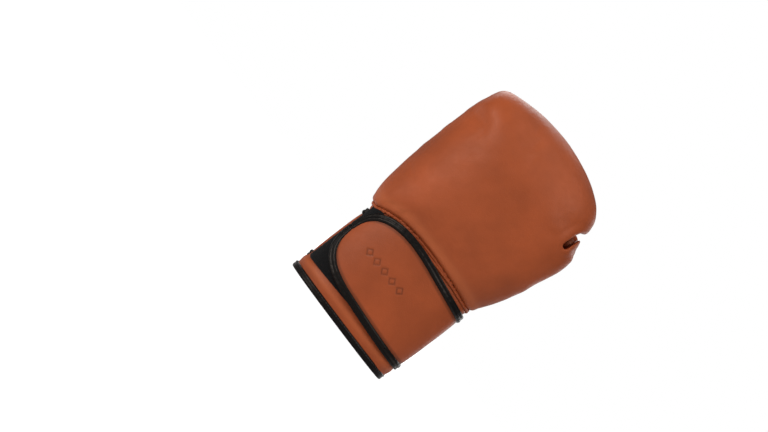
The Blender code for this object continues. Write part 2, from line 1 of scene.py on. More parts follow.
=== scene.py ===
"""The looks of the boxing glove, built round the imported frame.

The leather body is one closed surface, taken from a field of rounded shapes that are joined
smoothly. A short cloth simulation lets the padding swell it between its seams. Seams, welts,
bands, pleats and wrinkles are then pressed into it, it is cut open at the hem and along the
slit in the palm, and given the thickness of leather. The stitches, the slit's padded rolls,
the hem, the lining, the strap with its bindings, and the tape are pieces of their own.
Lengths are in millimetres, in the frame's own axes, until a mesh is made.
"""

import math

import bmesh
import bpy
import numpy as np
from mathutils import Matrix, Vector
from mathutils.bvhtree import BVHTree
from mathutils.kdtree import KDTree


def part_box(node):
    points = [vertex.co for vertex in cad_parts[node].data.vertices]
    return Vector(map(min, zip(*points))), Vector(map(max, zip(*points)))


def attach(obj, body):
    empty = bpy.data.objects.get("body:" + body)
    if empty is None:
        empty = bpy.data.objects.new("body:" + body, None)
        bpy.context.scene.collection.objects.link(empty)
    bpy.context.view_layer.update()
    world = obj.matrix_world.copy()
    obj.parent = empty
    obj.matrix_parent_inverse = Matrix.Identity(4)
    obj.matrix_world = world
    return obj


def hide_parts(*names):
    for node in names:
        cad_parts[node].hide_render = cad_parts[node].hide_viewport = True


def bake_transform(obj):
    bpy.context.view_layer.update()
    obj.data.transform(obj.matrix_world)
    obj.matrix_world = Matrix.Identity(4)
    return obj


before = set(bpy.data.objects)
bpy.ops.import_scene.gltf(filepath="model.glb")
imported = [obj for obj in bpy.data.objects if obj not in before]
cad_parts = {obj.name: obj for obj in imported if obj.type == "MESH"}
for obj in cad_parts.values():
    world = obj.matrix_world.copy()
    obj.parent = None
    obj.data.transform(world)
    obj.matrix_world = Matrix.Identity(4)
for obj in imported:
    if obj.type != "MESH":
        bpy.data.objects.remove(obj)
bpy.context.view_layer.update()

MM = 0.001
DEG = math.pi / 180
CELL = 1.3  # pitch of the field's grid
SIM_CELL = 4.5  # pitch of the cloth that the padding pushes out
SIM_FRAMES = 20
PRESSURE = 90.0
SWELL_CAP = 3.2  # the furthest that the padding may push the leather
DRAWN_IN = 1.0  # taken in beforehand, so that the swollen leather has the real outline
BODY_BOX = (-96, -70, -4), (96, 72, 286)  # holds the whole leather body

# Places taken from the frame.
CUFF_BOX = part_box("cuff_shell")
CX = (CUFF_BOX[0].x + CUFF_BOX[1].x) / 2 / MM
CY = (CUFF_BOX[0].y + CUFF_BOX[1].y) / 2 / MM


# ---- numbers ----
def smooth(low, high, x):
    """0 below low and 1 above high, eased between."""
    t = np.clip((np.asarray(x, float) - low) / (high - low), 0, 1)
    return t * t * (3 - 2 * t)


def bell(d, width):
    """1 at 0, falling to nothing over about twice the width."""
    return np.exp(-((d / width) ** 2))


def unit(vectors):
    """A vector, or vectors in rows, at length 1."""
    return vectors / np.maximum(np.linalg.norm(vectors, axis=-1, keepdims=True), 1e-9)


def table(pairs, soft=3.0):
    """A smooth function through pairs (place, value), rounded over a few millimetres."""
    step, margin = 0.5, 30
    at, value = np.array(pairs, float).T
    fine = np.arange(at[0] - margin, at[-1] + margin, step)
    kernel = np.exp(-0.5 * (np.arange(-margin, margin + 0.1, step) / soft) ** 2)
    raw = np.interp(fine, at, value)
    ends = [np.full(int(margin / step), end) for end in (raw[0], raw[-1])]
    eased = np.convolve(np.concatenate([ends[0], raw, ends[1]]), kernel / kernel.sum(), "valid")
    return lambda x: np.interp(x, fine, eased)


def join(a, b, k):
    """The smooth union of two fields, rounded over k millimetres."""
    h = np.clip(0.5 + 0.5 * (b - a) / k, 0, 1)
    return b * (1 - h) + a * h - k * h * (1 - h)


def carve(a, b, k):
    """Field a with the inside of b taken out."""
    return -join(-a, b, k)


def power_sum(a, b, p):
    return (np.maximum(a, 1e-6) ** p + np.maximum(b, 1e-6) ** p) ** (1 / p)


# ---- the leather body as a field ----
# Outlines of the body over the height: little finger's side, thumb's side at the back and at the
# palm, back and palm.
LITTLE = table([(0, -68.6), (60, -68.2), (90, -67.4), (101, -66.5), (106, -69), (111, -74),
                (118, -79), (125, -81), (135, -82.8), (150, -84.6), (175, -86), (195, -86.8),
                (225, -86), (245, -84.5), (270, -84)])
BACK_THUMB = table([(0, 65.4), (60, 65), (90, 64), (101, 62.5), (107, 63.5), (117, 69), (130, 75.5),
                    (143, 80.5), (160, 84.4), (180, 86.6), (195, 87.2), (205, 86.8), (215, 85),
                    (224, 82.2), (231, 77.5), (238, 75.8), (246, 77.4), (256, 78.4), (270, 77.4)], 2.5)
PALM_THUMB = table([(0, 65.4), (60, 65), (90, 64), (100, 62), (112, 54), (125, 47), (145, 44),
                    (165, 44), (185, 48), (205, 56), (222, 61), (270, 62)])
BACK_Y = table([(0, -42.6), (95, -41.6), (107, -42), (111, -45), (116, -49), (122, -51.4), (132, -53.5),
                (150, -56.5), (175, -59.3), (200, -61), (222, -61.4), (270, -61)], 2.2)
PALM_Y = table([(0, 29.4), (90, 28.4), (100, 28), (108, 29.5), (120, 32), (135, 34.5), (150, 35.4),
                (168, 33.5), (185, 28.6), (198, 24.5), (206, 24), (222, 45), (270, 45)])
ROUND_SIDE = table([(0, 2.5), (95, 2.5), (120, 2.9), (200, 3.0), (270, 3.0)])
MID_Y = -5.0
DOME_FROM = 215.0
WRIST_Z = 110.5  # the wrist seam at the middle of the back
TOP_Z = 277.0


def wrist_seam(x, y):
    """Height of the seam between mitt and cuff: lower at the sides, level over the palm."""
    side = np.clip(np.abs(x - CX) / 65.5, 0, 1) ** 3
    line = WRIST_Z - np.where(x > CX, 3.5, 11.5) * side
    return line + (100 - line) * smooth(-15, 15, y)


def rounded(offsets, norm):
    """The field of a shape with its surface where norm is 1, from offsets to its middle."""
    return np.sqrt(sum(d**2 for d in offsets)) * (1 - 1 / np.maximum(norm, 1e-3))


def body_field(x, y, z):
    """Cuff, palm and fist as one loft of rounded sections, domed over the knuckles."""
    near_wrist = 1 - smooth(112, 150, z)
    level = z + (WRIST_Z - wrist_seam(x, y)) * near_wrist * smooth(60, 98, z)
    left = LITTLE(level)
    toward_palm = smooth(-28, 12, y)
    right = BACK_THUMB(level) * (1 - toward_palm) + PALM_THUMB(level) * toward_palm
    middle, half = (left + right) / 2, (right - left) / 2
    across = np.abs(x - middle) / half
    back = np.maximum(MID_Y - y, 0) / (MID_Y - BACK_Y(level))
    front = np.maximum(y - MID_Y, 0) / (PALM_Y(level) - MID_Y)
    crown = TOP_Z - 0.0021 * (x + 4) ** 2 - DOME_FROM
    risen = np.maximum(z - DOME_FROM, 0)
    up = risen / np.maximum(crown, 20)
    hoop = power_sum(back + front, up, 2.25)
    upward = up**2 / np.maximum(up**2 + (back + front) ** 2, 1e-6)
    corner = ROUND_SIDE(level) + smooth(215, 240, z) * upward * (9.5 - 7.0 * smooth(-30, 30, x))
    norm = (np.maximum(across, 1e-6) ** corner + hoop**corner) ** (1 / corner)
    return rounded((x - middle, y - MID_Y, risen), norm)


ROLL_MIDDLE, ROLL_HALF = (-1.5, 15, 241), (63.5, 46.5, 34.5)


def roll_field(x, y, z):
    """The padded roll that the knuckle padding ends in, over the palm, lower at the thumb."""
    dx, dy, dz = (v - middle for v, middle in zip((x, y, z), ROLL_MIDDLE))
    lean = 0.05 * (x - 5)
    hoop = power_sum(np.abs(dy) / ROLL_HALF[1], np.abs(dz + lean) / ROLL_HALF[2], 2.2)
    return rounded((dx, dy, dz), power_sum(np.abs(dx) / ROLL_HALF[0], hoop, 2.5))


# The thumb over the height: its inner and outer sides, and its side to the palm.
THUMB_INNER = table([(98, 50), (110, 46), (120, 42), (130, 38), (140, 35), (150, 32.5), (160, 31),
                     (170, 31), (178, 33), (185, 38), (191, 44), (198, 49), (206, 52), (240, 54)], 2.5)
THUMB_OUTER = table([(98, 58), (107, 62), (117, 69), (130, 75.5), (143, 80.5), (160, 84.4),
                     (180, 86.6), (195, 87.6), (205, 88), (240, 88)])
THUMB_PALM = table([(98, 16), (108, 23), (120, 31), (130, 35.5), (150, 40), (170, 42), (190, 41.5),
                    (205, 39), (240, 38)])
THUMB_TOP, THUMB_DOME = 233.0, 204.0


def thumb_field(x, y, z):
    """The thumb, as one loft of rounded sections with a domed tip."""
    low, high, palm = THUMB_INNER(z), THUMB_OUTER(z), THUMB_PALM(z)
    middle, half = (low + high) / 2, (high - low) / 2
    back = 18 + 8 * smooth(165, 200, z)
    y_mid, y_half = (palm - back) / 2, (palm + back) / 2
    risen = np.maximum(z - THUMB_DOME, 0)
    section = power_sum(np.abs(x - middle) / half, np.abs(y - y_mid) / y_half, 2.3)
    norm = power_sum(section, risen / (THUMB_TOP - THUMB_DOME), 2.1)
    return rounded((x - middle, y - y_mid, risen), norm)


def segments_distance(x, z, points):
    """Distance in the XZ plane from an open line through points."""
    best = np.full(np.shape(x), 1e9)
    for (x0, z0), (x1, z1) in zip(points, points[1:]):
        dx, dz = x1 - x0, z1 - z0
        t = np.clip(((x - x0) * dx + (z - z0) * dz) / (dx * dx + dz * dz), 0, 1)
        best = np.minimum(best, np.hypot(x - x0 - t * dx, z - z0 - t * dz))
    return best


TAB_SLOT = [(70.4, 216.0), (70.8, 222), (71.5, 229), (72.8, 233), (77, 235.6), (85, 236.4)]
THUMB_GAP = [(46.5, 188), (50.5, 198), (53.5, 210), (57.5, 224), (62, 238), (64, 246)]


def field(x, y, z):
    """The whole leather body, negative inside: body, roll and thumb, with the slot and the gap cut."""
    whole = join(body_field(x, y, z), roll_field(x, y, z), 2.5 + 13 * smooth(236, 268, z))
    at_back = 1 - smooth(-20, 6, y)
    whole = join(whole, thumb_field(x, y, z), 3.0 + 22 * at_back * (1 - smooth(212, 226, z)))
    slot = np.maximum(segments_distance(x, z, TAB_SLOT) - 3.2 + 2.3 * smooth(74, 79, x), y - 4)
    whole = carve(whole, slot, 1.8 + 2.5 * smooth(73.5, 78.5, x))
    gap = np.maximum(segments_distance(x, z, THUMB_GAP) - 1.2, 2 - y)
    return carve(whole, gap, 3.0)


# ---- a mesh from a field ----
def layers(array, axis, rest=slice(None)):
    """The array without its last and without its first layer along an axis, cut by rest elsewhere."""
    windows = [[rest] * 3, [rest] * 3]
    windows[0][axis], windows[1][axis] = slice(0, -1), slice(1, None)
    return [array[tuple(window)] for window in windows]


def surface_of(function, low, high, cell):
    """Surface nets: one point in each cell that the surface crosses, then moved onto it."""
    axes = [np.arange(lo, hi + cell, cell) for lo, hi in zip(low, high)]
    value = function(*np.meshgrid(*axes, indexing="ij"))
    shape = np.array(value.shape)
    total = np.zeros(tuple(shape - 1) + (3,))
    count = np.zeros(tuple(shape - 1))
    for axis in range(3):
        a, b = layers(value, axis)
        crossed = (a < 0) != (b < 0)
        t = np.where(crossed, a / np.where(crossed, a - b, 1), 0)
        u, v = [i for i in range(3) if i != axis]
        for i in (0, 1):
            for j in (0, 1):
                window = [slice(None)] * 3
                window[u], window[v] = slice(i, i + shape[u] - 1), slice(j, j + shape[v] - 1)
                hit = crossed[tuple(window)]
                place = np.zeros(hit.shape + (3,))
                place[..., axis] = t[tuple(window)]
                place[..., u], place[..., v] = i, j
                total += place * hit[..., None]
                count += hit
    used = count > 0
    index = np.full(used.shape, -1)
    index[used] = np.arange(used.sum())
    start = np.array([a[0] for a in axes])
    points = (np.argwhere(used) + total[used] / count[used][:, None]) * cell + start
    quads = []
    for axis in range(3):
        a, b = layers(value < 0, axis, slice(1, -1))
        u, v = (axis + 1) % 3, (axis + 2) % 3
        for crossed, turn in ((a & ~b, 1), (~a & b, -1)):
            found = np.argwhere(crossed)
            corners = []
            for du, dv in ((0, 0), (1, 0), (1, 1), (0, 1))[::turn]:
                at = found.copy()
                at[:, u] += du
                at[:, v] += dv
                corners.append(index[tuple(at.T)])
            quads.append(np.stack(corners, 1))
    for _ in range(3):
        points = points - 0.9 * gradient(function, points, 0.4) * function(*points.T)[:, None]
    return points, np.concatenate(quads)


def gradient(function, points, step):
    """The field's gradient at each point, over its squared length."""
    out = np.empty_like(points)
    for axis in range(3):
        shift = np.zeros(3)
        shift[axis] = step
        out[:, axis] = (function(*(points + shift).T) - function(*(points - shift).T)) / (2 * step)
    return out / np.maximum((out**2).sum(1), 0.05)[:, None]


def plain(points, faces):
    """Points and faces as the tuples that Blender takes."""
    return [tuple(p) for p in points], [tuple(map(int, f)) for f in faces]


def mesh_of(name, points, faces):
    """A smoothly shaded mesh from points in millimetres."""
    points, faces = plain(np.asarray(points) * MM, faces)
    mesh = bpy.data.meshes.new(name)
    mesh.from_pydata(points, [], faces)
    mesh.update()
    mesh.shade_smooth()
    return mesh


def normals_of(points, faces):
    """Directions out of the surface at its points."""
    a, b, c, d = (points[faces[:, i]] for i in range(4))
    n = np.cross(c - a, d - b)
    out = np.zeros_like(points)
    for i in range(4):
        np.add.at(out, faces[:, i], n)
    return unit(out)


def edges_of(faces):
    return np.concatenate([faces[:, [i, (i + 1) % 4]] for i in range(4)])


def relaxed(points, faces, rounds, rate=0.5):
    """Points eased towards the mean of their neighbours."""
    edges = edges_of(faces)
    for _ in range(rounds):
        total = np.zeros_like(points)
        count = np.zeros(len(points))
        for a, b in ((0, 1), (1, 0)):
            np.add.at(total, edges[:, a], points[edges[:, b]])
            np.add.at(count, edges[:, a], 1)
        points = points + rate * (total / count[:, None] - points)
    return points


def tree_of(points):
    """Points in a tree that finds the nearest ones."""
    tree = KDTree(len(points))
    for i, p in enumerate(points):
        tree.insert(p, i)
    tree.balance()
    return tree


# ---- lines on the leather ----
def through(points, step=1.0):
    """An evenly spaced smooth line through points in space."""
    p = np.asarray(points, float)
    p = np.vstack([2 * p[0] - p[1], p, 2 * p[-1] - p[-2]])
    out = []
    for a, b, c, d in zip(p, p[1:], p[2:], p[3:]):
        t = np.linspace(0, 1, 24, endpoint=False)[:, None]
        out.append(0.5 * (2 * b + (c - a) * t + (2 * a - 5 * b + 4 * c - d) * t**2
                          + (3 * b - a - 3 * c + d) * t**3))
    return evenly(np.vstack(out + [p[-2][None]]), step)


def lengths(line):
    """How far along the line each of its points lies."""
    return np.concatenate([[0], np.cumsum(np.linalg.norm(np.diff(line, axis=0), axis=1))])


def sampled(at, along, values):
    """Rows of three values known along a line, read at other places along it."""
    return np.stack([np.interp(at, along, values[:, i]) for i in range(3)], -1)


def evenly(line, step):
    """The line with its points about one step apart."""
    along = lengths(line)
    count = max(int(round(along[-1] / step)), 2) + 1
    return sampled(np.linspace(0, along[-1], count), along, line)


class Skin:
    """The leather as something to lay lines on."""

    def __init__(self, points, faces):
        self.tree = BVHTree.FromPolygons(*plain(points, faces))

    def nearest(self, line):
        """The points of the leather nearest to a line, and the directions out of it there."""
        found = [self.tree.find_nearest(Vector(p)) for p in line]
        return np.array([f[0] for f in found]), np.array([f[1] for f in found])

    def seen(self, plan, side):
        """Points (x, z) seen from the palm, side 1, or from the back, side -1."""
        out = []
        for x, z in plan:
            hit = self.tree.ray_cast(Vector((x, side * 130, z)), Vector((0, -side, 0)))[0]
            out.append(hit if hit is not None else self.tree.find_nearest(Vector((x, 6 * side, z)))[0])
        return np.array(out)

    def drawn(self, plan, side=1, step=1.0):
        """A smooth line on the leather through points (x, z)."""
        flat = through([(x, 0, z) for x, z in plan], step)
        return self.nearest(evenly(self.seen(flat[:, [0, 2]], side), step))[0]


def distance_to(points, line):
    """Distance of each point from a line given as close points, beyond 14 mm only roughly."""
    out = np.full(len(points), 99.0)
    low, high = line.min(0) - 14, line.max(0) + 14
    near = np.flatnonzero(((points > low) & (points < high)).all(1))
    for chunk in np.array_split(near, max(len(near) // 4000, 1)):
        gap = points[chunk][:, None, :] - line[None]
        out[chunk] = np.sqrt((gap**2).sum(2).min(1))
    return out


# Lines as points (x, z), seen from the palm.
ROLL_EDGE = [(52, 222), (45.4, 213.4), (33, 209), (20.4, 207), (5, 206.8), (-9.6, 208), (-25, 211.5),
             (-39.6, 216), (-50, 222), (-59.6, 230), (-66, 238)]
GUSSET_ARC = [(-64.6, 238.4), (-70, 240.8), (-76.6, 241.2), (-82.5, 238.6), (-86, 235)]
SEAM_UPPER = [(-36, 218), (-50, 220.2), (-66, 222.4), (-86, 223.8)]
SEAM_MIDDLE = [(49, 201.6), (30, 201.2), (10.4, 201.4), (-14, 202.2), (-39.6, 202.4), (-62, 200.2),
               (-86, 196.6)]
SEAM_ARCH = [(34, 179.5), (22, 184.5), (10.4, 187.6), (-4, 191), (-19.6, 192.2), (-39.6, 189.4),
             (-59.6, 183.9), (-72, 177.5), (-85, 168)]
THUMB_WELT = [(52, 193), (45, 190.5), (38, 187.5), (32.5, 182), (30.2, 174), (30.3, 164), (32, 152),
              (35.4, 139.5), (40.4, 127.5), (46, 115), (51, 103)]
THUMB_SEAM = [(71, 140), (72, 152), (74.2, 165), (76.5, 180), (77, 192), (74.5, 204), (70, 216),
              (65, 226), (60, 232)]
THUMB_CREASE = [(66.5, 224), (67.2, 208), (66, 190), (63, 170), (60, 153)]
# The side seam, as points in space.
LITTLE_SEAM = [(-64, 12, 98), (-70, 10, 106), (-78, 8, 116), (-82, 7, 132), (-84.5, 6, 150),
               (-86, 6, 175), (-87, 5, 200), (-86, 5, 223), (-85.5, 6, 236)]
PLEATS = [((-66.5, 240.5), (-63.5, 249), (-61, 257)), ((-69.5, 242), (-68, 253), (-66, 263)),
          ((-72.8, 242.6), (-72.5, 255), (-72, 268)), ((-76, 242.6), (-76.8, 254), (-77, 264)),
          ((-79.5, 241.6), (-80.8, 251), (-81.5, 260)), ((-83, 239.8), (-84.2, 247), (-85, 254))]
WRINKLES = [((-38, 104), (-50, 107.5), (-62, 106.5)), ((-44, 98), (-56, 101.5), (-67, 100.5)),
            ((-30, 112), (-44, 117), (-56, 116)), ((26, 196), (12, 193.2), (-2, 195.5)),
            ((38, 198), (24, 193.5), (14, 190)), ((-30, 197.5), (-46, 195.6), (-60, 193)),
            ((20, 205), (0, 204.6), (-22, 206.8)), ((26, 150), (28.5, 140), (33, 130)),
            ((-50, 214), (-62, 213), (-76, 214.5)), ((30, 108), (36, 113), (40, 119))]
# Half widths over the height, of the stitched plate round the slit and of the slit itself.
PLATE = table([(96, 15.5), (107, 16.6), (130, 18.6), (153, 20.6), (163, 20.4), (171, 17.5),
               (177, 12), (180, 6), (181.5, 0)], 1.0)
VENT_X = -2.6
VENT = table([(0, 1.4), (88, 1.4), (98, 3.6), (107, 4.3), (120, 5.6), (135, 7.2), (150, 8.8), (158, 8.4),
              (163, 6.2), (167, 1.0)], 1.5)
PLATE_EDGE = [(VENT_X + PLATE(z), z) for z in np.arange(92, 180, 4.0)]
PLATE_EDGE += [(VENT_X - PLATE(z), z) for z in np.arange(176, 91, -4.0)]


def wrist_line(low, high, lift=0.0):
    """The wrist seam as points in space, between two angles seen from above, in degrees."""
    out = []
    for angle in np.radians(np.arange(low, high + 1, 3.0)):
        x, y = CX + 66 * math.cos(angle), CY + 36 * math.sin(angle)
        out.append((x, y, float(wrist_seam(x, y)) + lift))
    return np.array(out)


def side_crease(points):
    """Where the thumb meets the back, as a line up the thumb's side of the glove."""
    x, y, z = points.T
    gap = np.abs(thumb_field(x, y, z) - body_field(x, y, z))
    near = (gap < 1.3) & (x > 46) & (y < 8) & (y > -30)
    stations = []
    for level in range(102, 214, 6):
        found = points[near & (np.abs(z - level) < 3.5)]
        if len(found):
            stations.append((*found[:, :2].mean(0), level))
    stations = np.array(stations)
    for _ in range(6):
        stations[1:-1, :2] = (stations[:-2, :2] + 2 * stations[1:-1, :2] + stations[2:, :2]) / 4
    below_tip = stations[stations[:, 2] < 166]
    return np.vstack([below_tip, [(86, -3, 190), (84, 0, 202), (80, 2, 214)]])


def seam_list(skin, side):
    """Seams, each as its line, depth, width, puff beside it, how far off that is, and how dark the painted
    shade in it is.
    """
    wrist = skin.nearest(through(wrist_line(-205, 25)))[0]
    seams = [(wrist, 2.2, 1.9, 0.9, 5.5, 0.9)]
    for plan, depth, dark in ((ROLL_EDGE, 1.2, 0.75), (GUSSET_ARC, 1.2, 0.8), (SEAM_UPPER, 1.3, 0.9),
                              (SEAM_MIDDLE, 1.5, 0.9), (SEAM_ARCH, 1.3, 0.85), (THUMB_WELT, 1.1, 0.9),
                              (THUMB_SEAM, 0.9, 0.7)):
        seams.append((skin.drawn(plan), depth, 1.5, 0.45, 4.5, dark))
    seams.append((skin.nearest(through(LITTLE_SEAM))[0], 0.9, 1.5, 0.35, 4.5, 0.75))
    seams.append((skin.nearest(through(side))[0], 1.2, 1.6, 0.5, 5.0, 0.8))
    seams.append((skin.drawn(PLATE_EDGE), 0.5, 1.3, 0.0, 4.0, 0.7))
    return seams


ROLL_NUMBER, MIDDLE_NUMBER, THUMB_NUMBER = 1, 4, 7  # places in the list of seams


def press(points, normals, seams, furrows, skin):
    """Points pressed in at seams, pleats and wrinkles; the painted shade in these and the painted highlight
    on the puffs beside them.
    """
    x, y, z = points.T
    shift, dark = np.zeros(len(points)), np.zeros(len(points))
    # dark is painted shade, laid in the grooves of the seams, furrows, pleats and wrinkles.
    for line, depth, width, puff, off, shade in seams:
        d = distance_to(points, line)
        shift += -depth * bell(d, width) + puff * bell(d - off, 0.55 * off)
        dark = np.maximum(dark, 0.7 * shade * bell(d, 0.95))
    for line in furrows:
        d = distance_to(points, line)
        shift -= 0.28 * bell(d, 1.0)
        dark = np.maximum(dark, 0.5 * bell(d, 0.9))
    fade = 1 - smooth(248, 268, z)
    for plan in PLEATS:
        d = distance_to(points, skin.drawn(plan))
        shift += fade * (0.55 * bell(d - 2.1, 1.2) - 1.15 * bell(d, 1.1))
        dark = np.maximum(dark, 0.45 * fade * bell(d, 0.9))
    for i, plan in enumerate(WRINKLES):
        line = skin.drawn(plan)
        d = distance_to(points, line)
        fade = smooth(0, 9, np.minimum(*(np.linalg.norm(points - end, axis=1) for end in line[[0, -1]])))
        shift += fade * (0.5 * bell(d - 3.2, 1.8) - (0.75 + 0.2 * (i % 2)) * bell(d, 1.8))
        dark = np.maximum(dark, 0.14 * fade * bell(d, 1.5))
    shift += 0.9 * bell(distance_to(points, skin.drawn(THUMB_CREASE)), 2.6)
    wave = (np.sin(x * 0.071 + z * 0.043 + 0.6) * np.sin(y * 0.083 - z * 0.037 + 1.1)
            + 0.6 * np.sin(x * 0.13 - z * 0.09 + 2.0) * np.sin(y * 0.11 + z * 0.12)
            + 0.35 * np.sin(x * 0.27 + y * 0.21 + 0.3) * np.sin(z * 0.24 - x * 0.11))
    shift += 0.22 * wave * smooth(104, 125, z)
    shift += 1.1 * bell(z - 13.6, 4.6) * smooth(4, 8, z)
    # Painted highlight on the puffed band above the wrist seam, on the puffed strip low on the cuff, and
    # beside the roll, thumb and middle seams.
    painted_highlight = 0.6 * bell(z - wrist_seam(x, y) - 7.5, 4.5) * (1 - smooth(-30, 0, y))
    painted_highlight = np.maximum(painted_highlight, 0.6 * bell(z - 14, 3.4))
    for number, off in ((ROLL_NUMBER, 7.0), (THUMB_NUMBER, 4.5), (MIDDLE_NUMBER, 5.0)):
        d = distance_to(points, seams[number][0])
        painted_highlight = np.maximum(painted_highlight, 0.35 * bell(d - off, 2.6))
    return points + normals * shift[:, None], dark, painted_highlight


# ---- materials ----
def new_material(name, roughness, specular=0.5):
    made = bpy.data.materials.new(name)
    made.use_nodes = True
    tree = made.node_tree
    shader = tree.nodes["Principled BSDF"]
    shader.inputs["Roughness"].default_value = roughness
    shader.inputs["Specular IOR Level"].default_value = specular
    return made, tree, shader


def add_node(tree, kind, links=(), **values):
    """A node with its properties or inputs set by name, and inputs linked by name or number."""
    node = tree.nodes.new("ShaderNode" + kind)
    for key, value in values.items():
        if hasattr(node, key):
            setattr(node, key, value)
        else:
            node.inputs[key.replace("_", " ")].default_value = value
    for socket, source in links:
        tree.links.new(source, node.inputs[socket])
    return node


def placed(tree):
    """Places on the piece itself, in metres."""
    return add_node(tree, "TexCoord").outputs["Object"]


def noise(tree, at, scale, detail, roughness=0.5):
    made = add_node(tree, "TexNoise", [("Vector", at)], Scale=scale, Detail=detail, Roughness=roughness)
    return made.outputs["Fac"]


def tint(colour, factor=(1, 1, 1)):
    """The colour with each of its channels times a factor, and an alpha."""
    return tuple(min(c * f, 1) for c, f in zip(colour, factor)) + (1,)


def mixed(tree, factor, a, b):
    """Colour a with b over it. Either may be a colour or a socket."""
    node = tree.nodes.new("ShaderNodeMix")
    node.data_type = "RGBA"
    tree.links.new(factor, node.inputs[0])
    for socket, value in ((node.inputs[6], a), (node.inputs[7], b)):
        if isinstance(value, bpy.types.NodeSocket):
            tree.links.new(value, socket)
        else:
            socket.default_value = value
    return node.outputs[2]


def ranged(tree, source, low, high, to_low, to_high):
    """The source, with low to high stretched to another range."""
    node = add_node(tree, "MapRange", [("Value", source)])
    for name, value in (("From Min", low), ("From Max", high), ("To Min", to_low), ("To Max", to_high)):
        node.inputs[name].default_value = value
    return node.outputs["Result"]


def bumped(tree, height, strength, distance, after=None):
    """Normals bumped by a height, over others if given; the distance is in metres."""
    node = add_node(tree, "Bump", [("Height", height)], Strength=strength, Distance=distance)
    if after:
        tree.links.new(after, node.inputs["Normal"])
    return node.outputs["Normal"]


def finished(made, tree, shader, **sockets):
    """The material, with its shader's named inputs linked."""
    for name, source in sockets.items():
        tree.links.new(source, shader.inputs[name.replace("_", " ")])
    return made


def leather(name, colour, shade_colour, grain=1.0, roughness=(0.40, 0.54), specular=0.30):
    """Full-grain leather: mottled dye and fine pores, with a painted highlight on its puffed bands and
    painted shade in its seams, pleats and wrinkles.
    """
    made, tree, shader = new_material(name, 0.45, specular)
    at = placed(tree)
    cloud, fine = noise(tree, at, 13.0, 3.0, 0.55), noise(tree, at, 210.0, 4.0, 0.65)
    pores = add_node(tree, "TexVoronoi", [("Vector", at)], Scale=1150.0).outputs["Distance"]
    hair = noise(tree, at, 1900.0, 2.0)
    dark, light = tint(colour, [0.80] * 3), tint(colour, [1.15] * 3)
    base = mixed(tree, ranged(tree, cloud, 0.32, 0.68, 0, 1), dark, light)
    base = mixed(tree, ranged(tree, fine, 0.30, 0.75, 0, 0.22), base, dark)
    # Painted highlight: a lighter, paler tone where the leather puffs out; painted shade: a dark tone in
    # seams, pleats, wrinkles and under the bindings.
    for mask, over in (("painted_highlight", tint(colour, (1.28, 1.55, 1.8))), ("painted_shade", tint(shade_colour))):
        strength = add_node(tree, "Attribute", attribute_name=mask).outputs["Fac"]
        base = mixed(tree, strength, base, over)
    shader.inputs["Specular Tint"].default_value = (1.0, 0.86, 0.76, 1)
    normal = bumped(tree, fine, 0.10 * grain, 0.0012)
    normal = bumped(tree, pores, 0.30 * grain, 0.00022, normal)
    normal = bumped(tree, hair, 0.22 * grain, 0.00012, normal)
    return finished(made, tree, shader, Base_Color=base, Normal=normal,
                    Roughness=ranged(tree, fine, 0.3, 0.7, *roughness))


def cloth(name, colour, roughness, scale, sheen=0.0, lift=0.0004, strength=0.5):
    """A trim, pile or thread: fibres at a given scale, lighter where they stand up."""
    made, tree, shader = new_material(name, roughness, 0.3)
    at = placed(tree)
    fibre, broad = noise(tree, at, scale, 3.0, 0.7), noise(tree, at, scale / 12, 2.0)
    dark, light = tint(colour, [0.6] * 3), tint(colour, [1.7] * 3)
    base = mixed(tree, ranged(tree, fibre, 0.3, 0.7, 0, 1), dark, light)
    base = mixed(tree, ranged(tree, broad, 0.3, 0.7, 0, 0.35), base, dark)
    shader.inputs["Sheen Weight"].default_value = sheen
    shader.inputs["Sheen Roughness"].default_value = 0.5
    return finished(made, tree, shader, Base_Color=base, Normal=bumped(tree, fibre, strength, lift))


def satin(name, colour):
    """A woven lining with soft folds."""
    made, tree, shader = new_material(name, 0.38, 0.5)
    at = placed(tree)
    weft = add_node(tree, "TexWave", [("Vector", at)], Scale=420.0, Distortion=1.5, bands_direction="Z")
    weft = weft.outputs["Fac"]
    shader.inputs["Sheen Weight"].default_value = 0.2
    normal = bumped(tree, noise(tree, at, 45.0, 2.0), 0.5, 0.002)
    return finished(made, tree, shader, Base_Color=mixed(tree, weft, tint(colour, [0.75] * 3), tint(colour)),
                    Normal=bumped(tree, weft, 0.25, 0.0001, normal))


PAINTED_SHADE_COLOUR = (0.085, 0.022, 0.008)
TAN = leather("tan_leather_full_grain", (0.40, 0.081, 0.0235), PAINTED_SHADE_COLOUR)
TAN_PALM = leather("tan_leather_palm", (0.39, 0.078, 0.0225), PAINTED_SHADE_COLOUR, 1.2, (0.36, 0.50))
TAN_EDGE = leather("tan_leather_edge", (0.25, 0.066, 0.026), (0.05, 0.015, 0.006), 1.0, (0.40, 0.55))
BLACK = leather("black_binding_leather", (0.0036, 0.0034, 0.0036), (0.001, 0.001, 0.001), 0.8,
                (0.26, 0.38), 0.22)
LOOP = cloth("loop_pile_black", (0.003, 0.003, 0.0033), 0.95, 900.0, 0.05, 0.0008, 0.8)
HOOK = cloth("hook_tape_black", (0.012, 0.012, 0.013), 0.6, 1500.0, 0.0, 0.0006, 0.9)
THREAD = cloth("tan_thread", (0.40, 0.105, 0.034), 0.55, 2500.0, 0.2, 0.0001, 0.5)
BLACK_THREAD = cloth("black_thread", (0.014, 0.014, 0.015), 0.5, 2500.0, 0.2, 0.0001, 0.5)
SATIN = satin("black_satin_lining", (0.02, 0.02, 0.023))


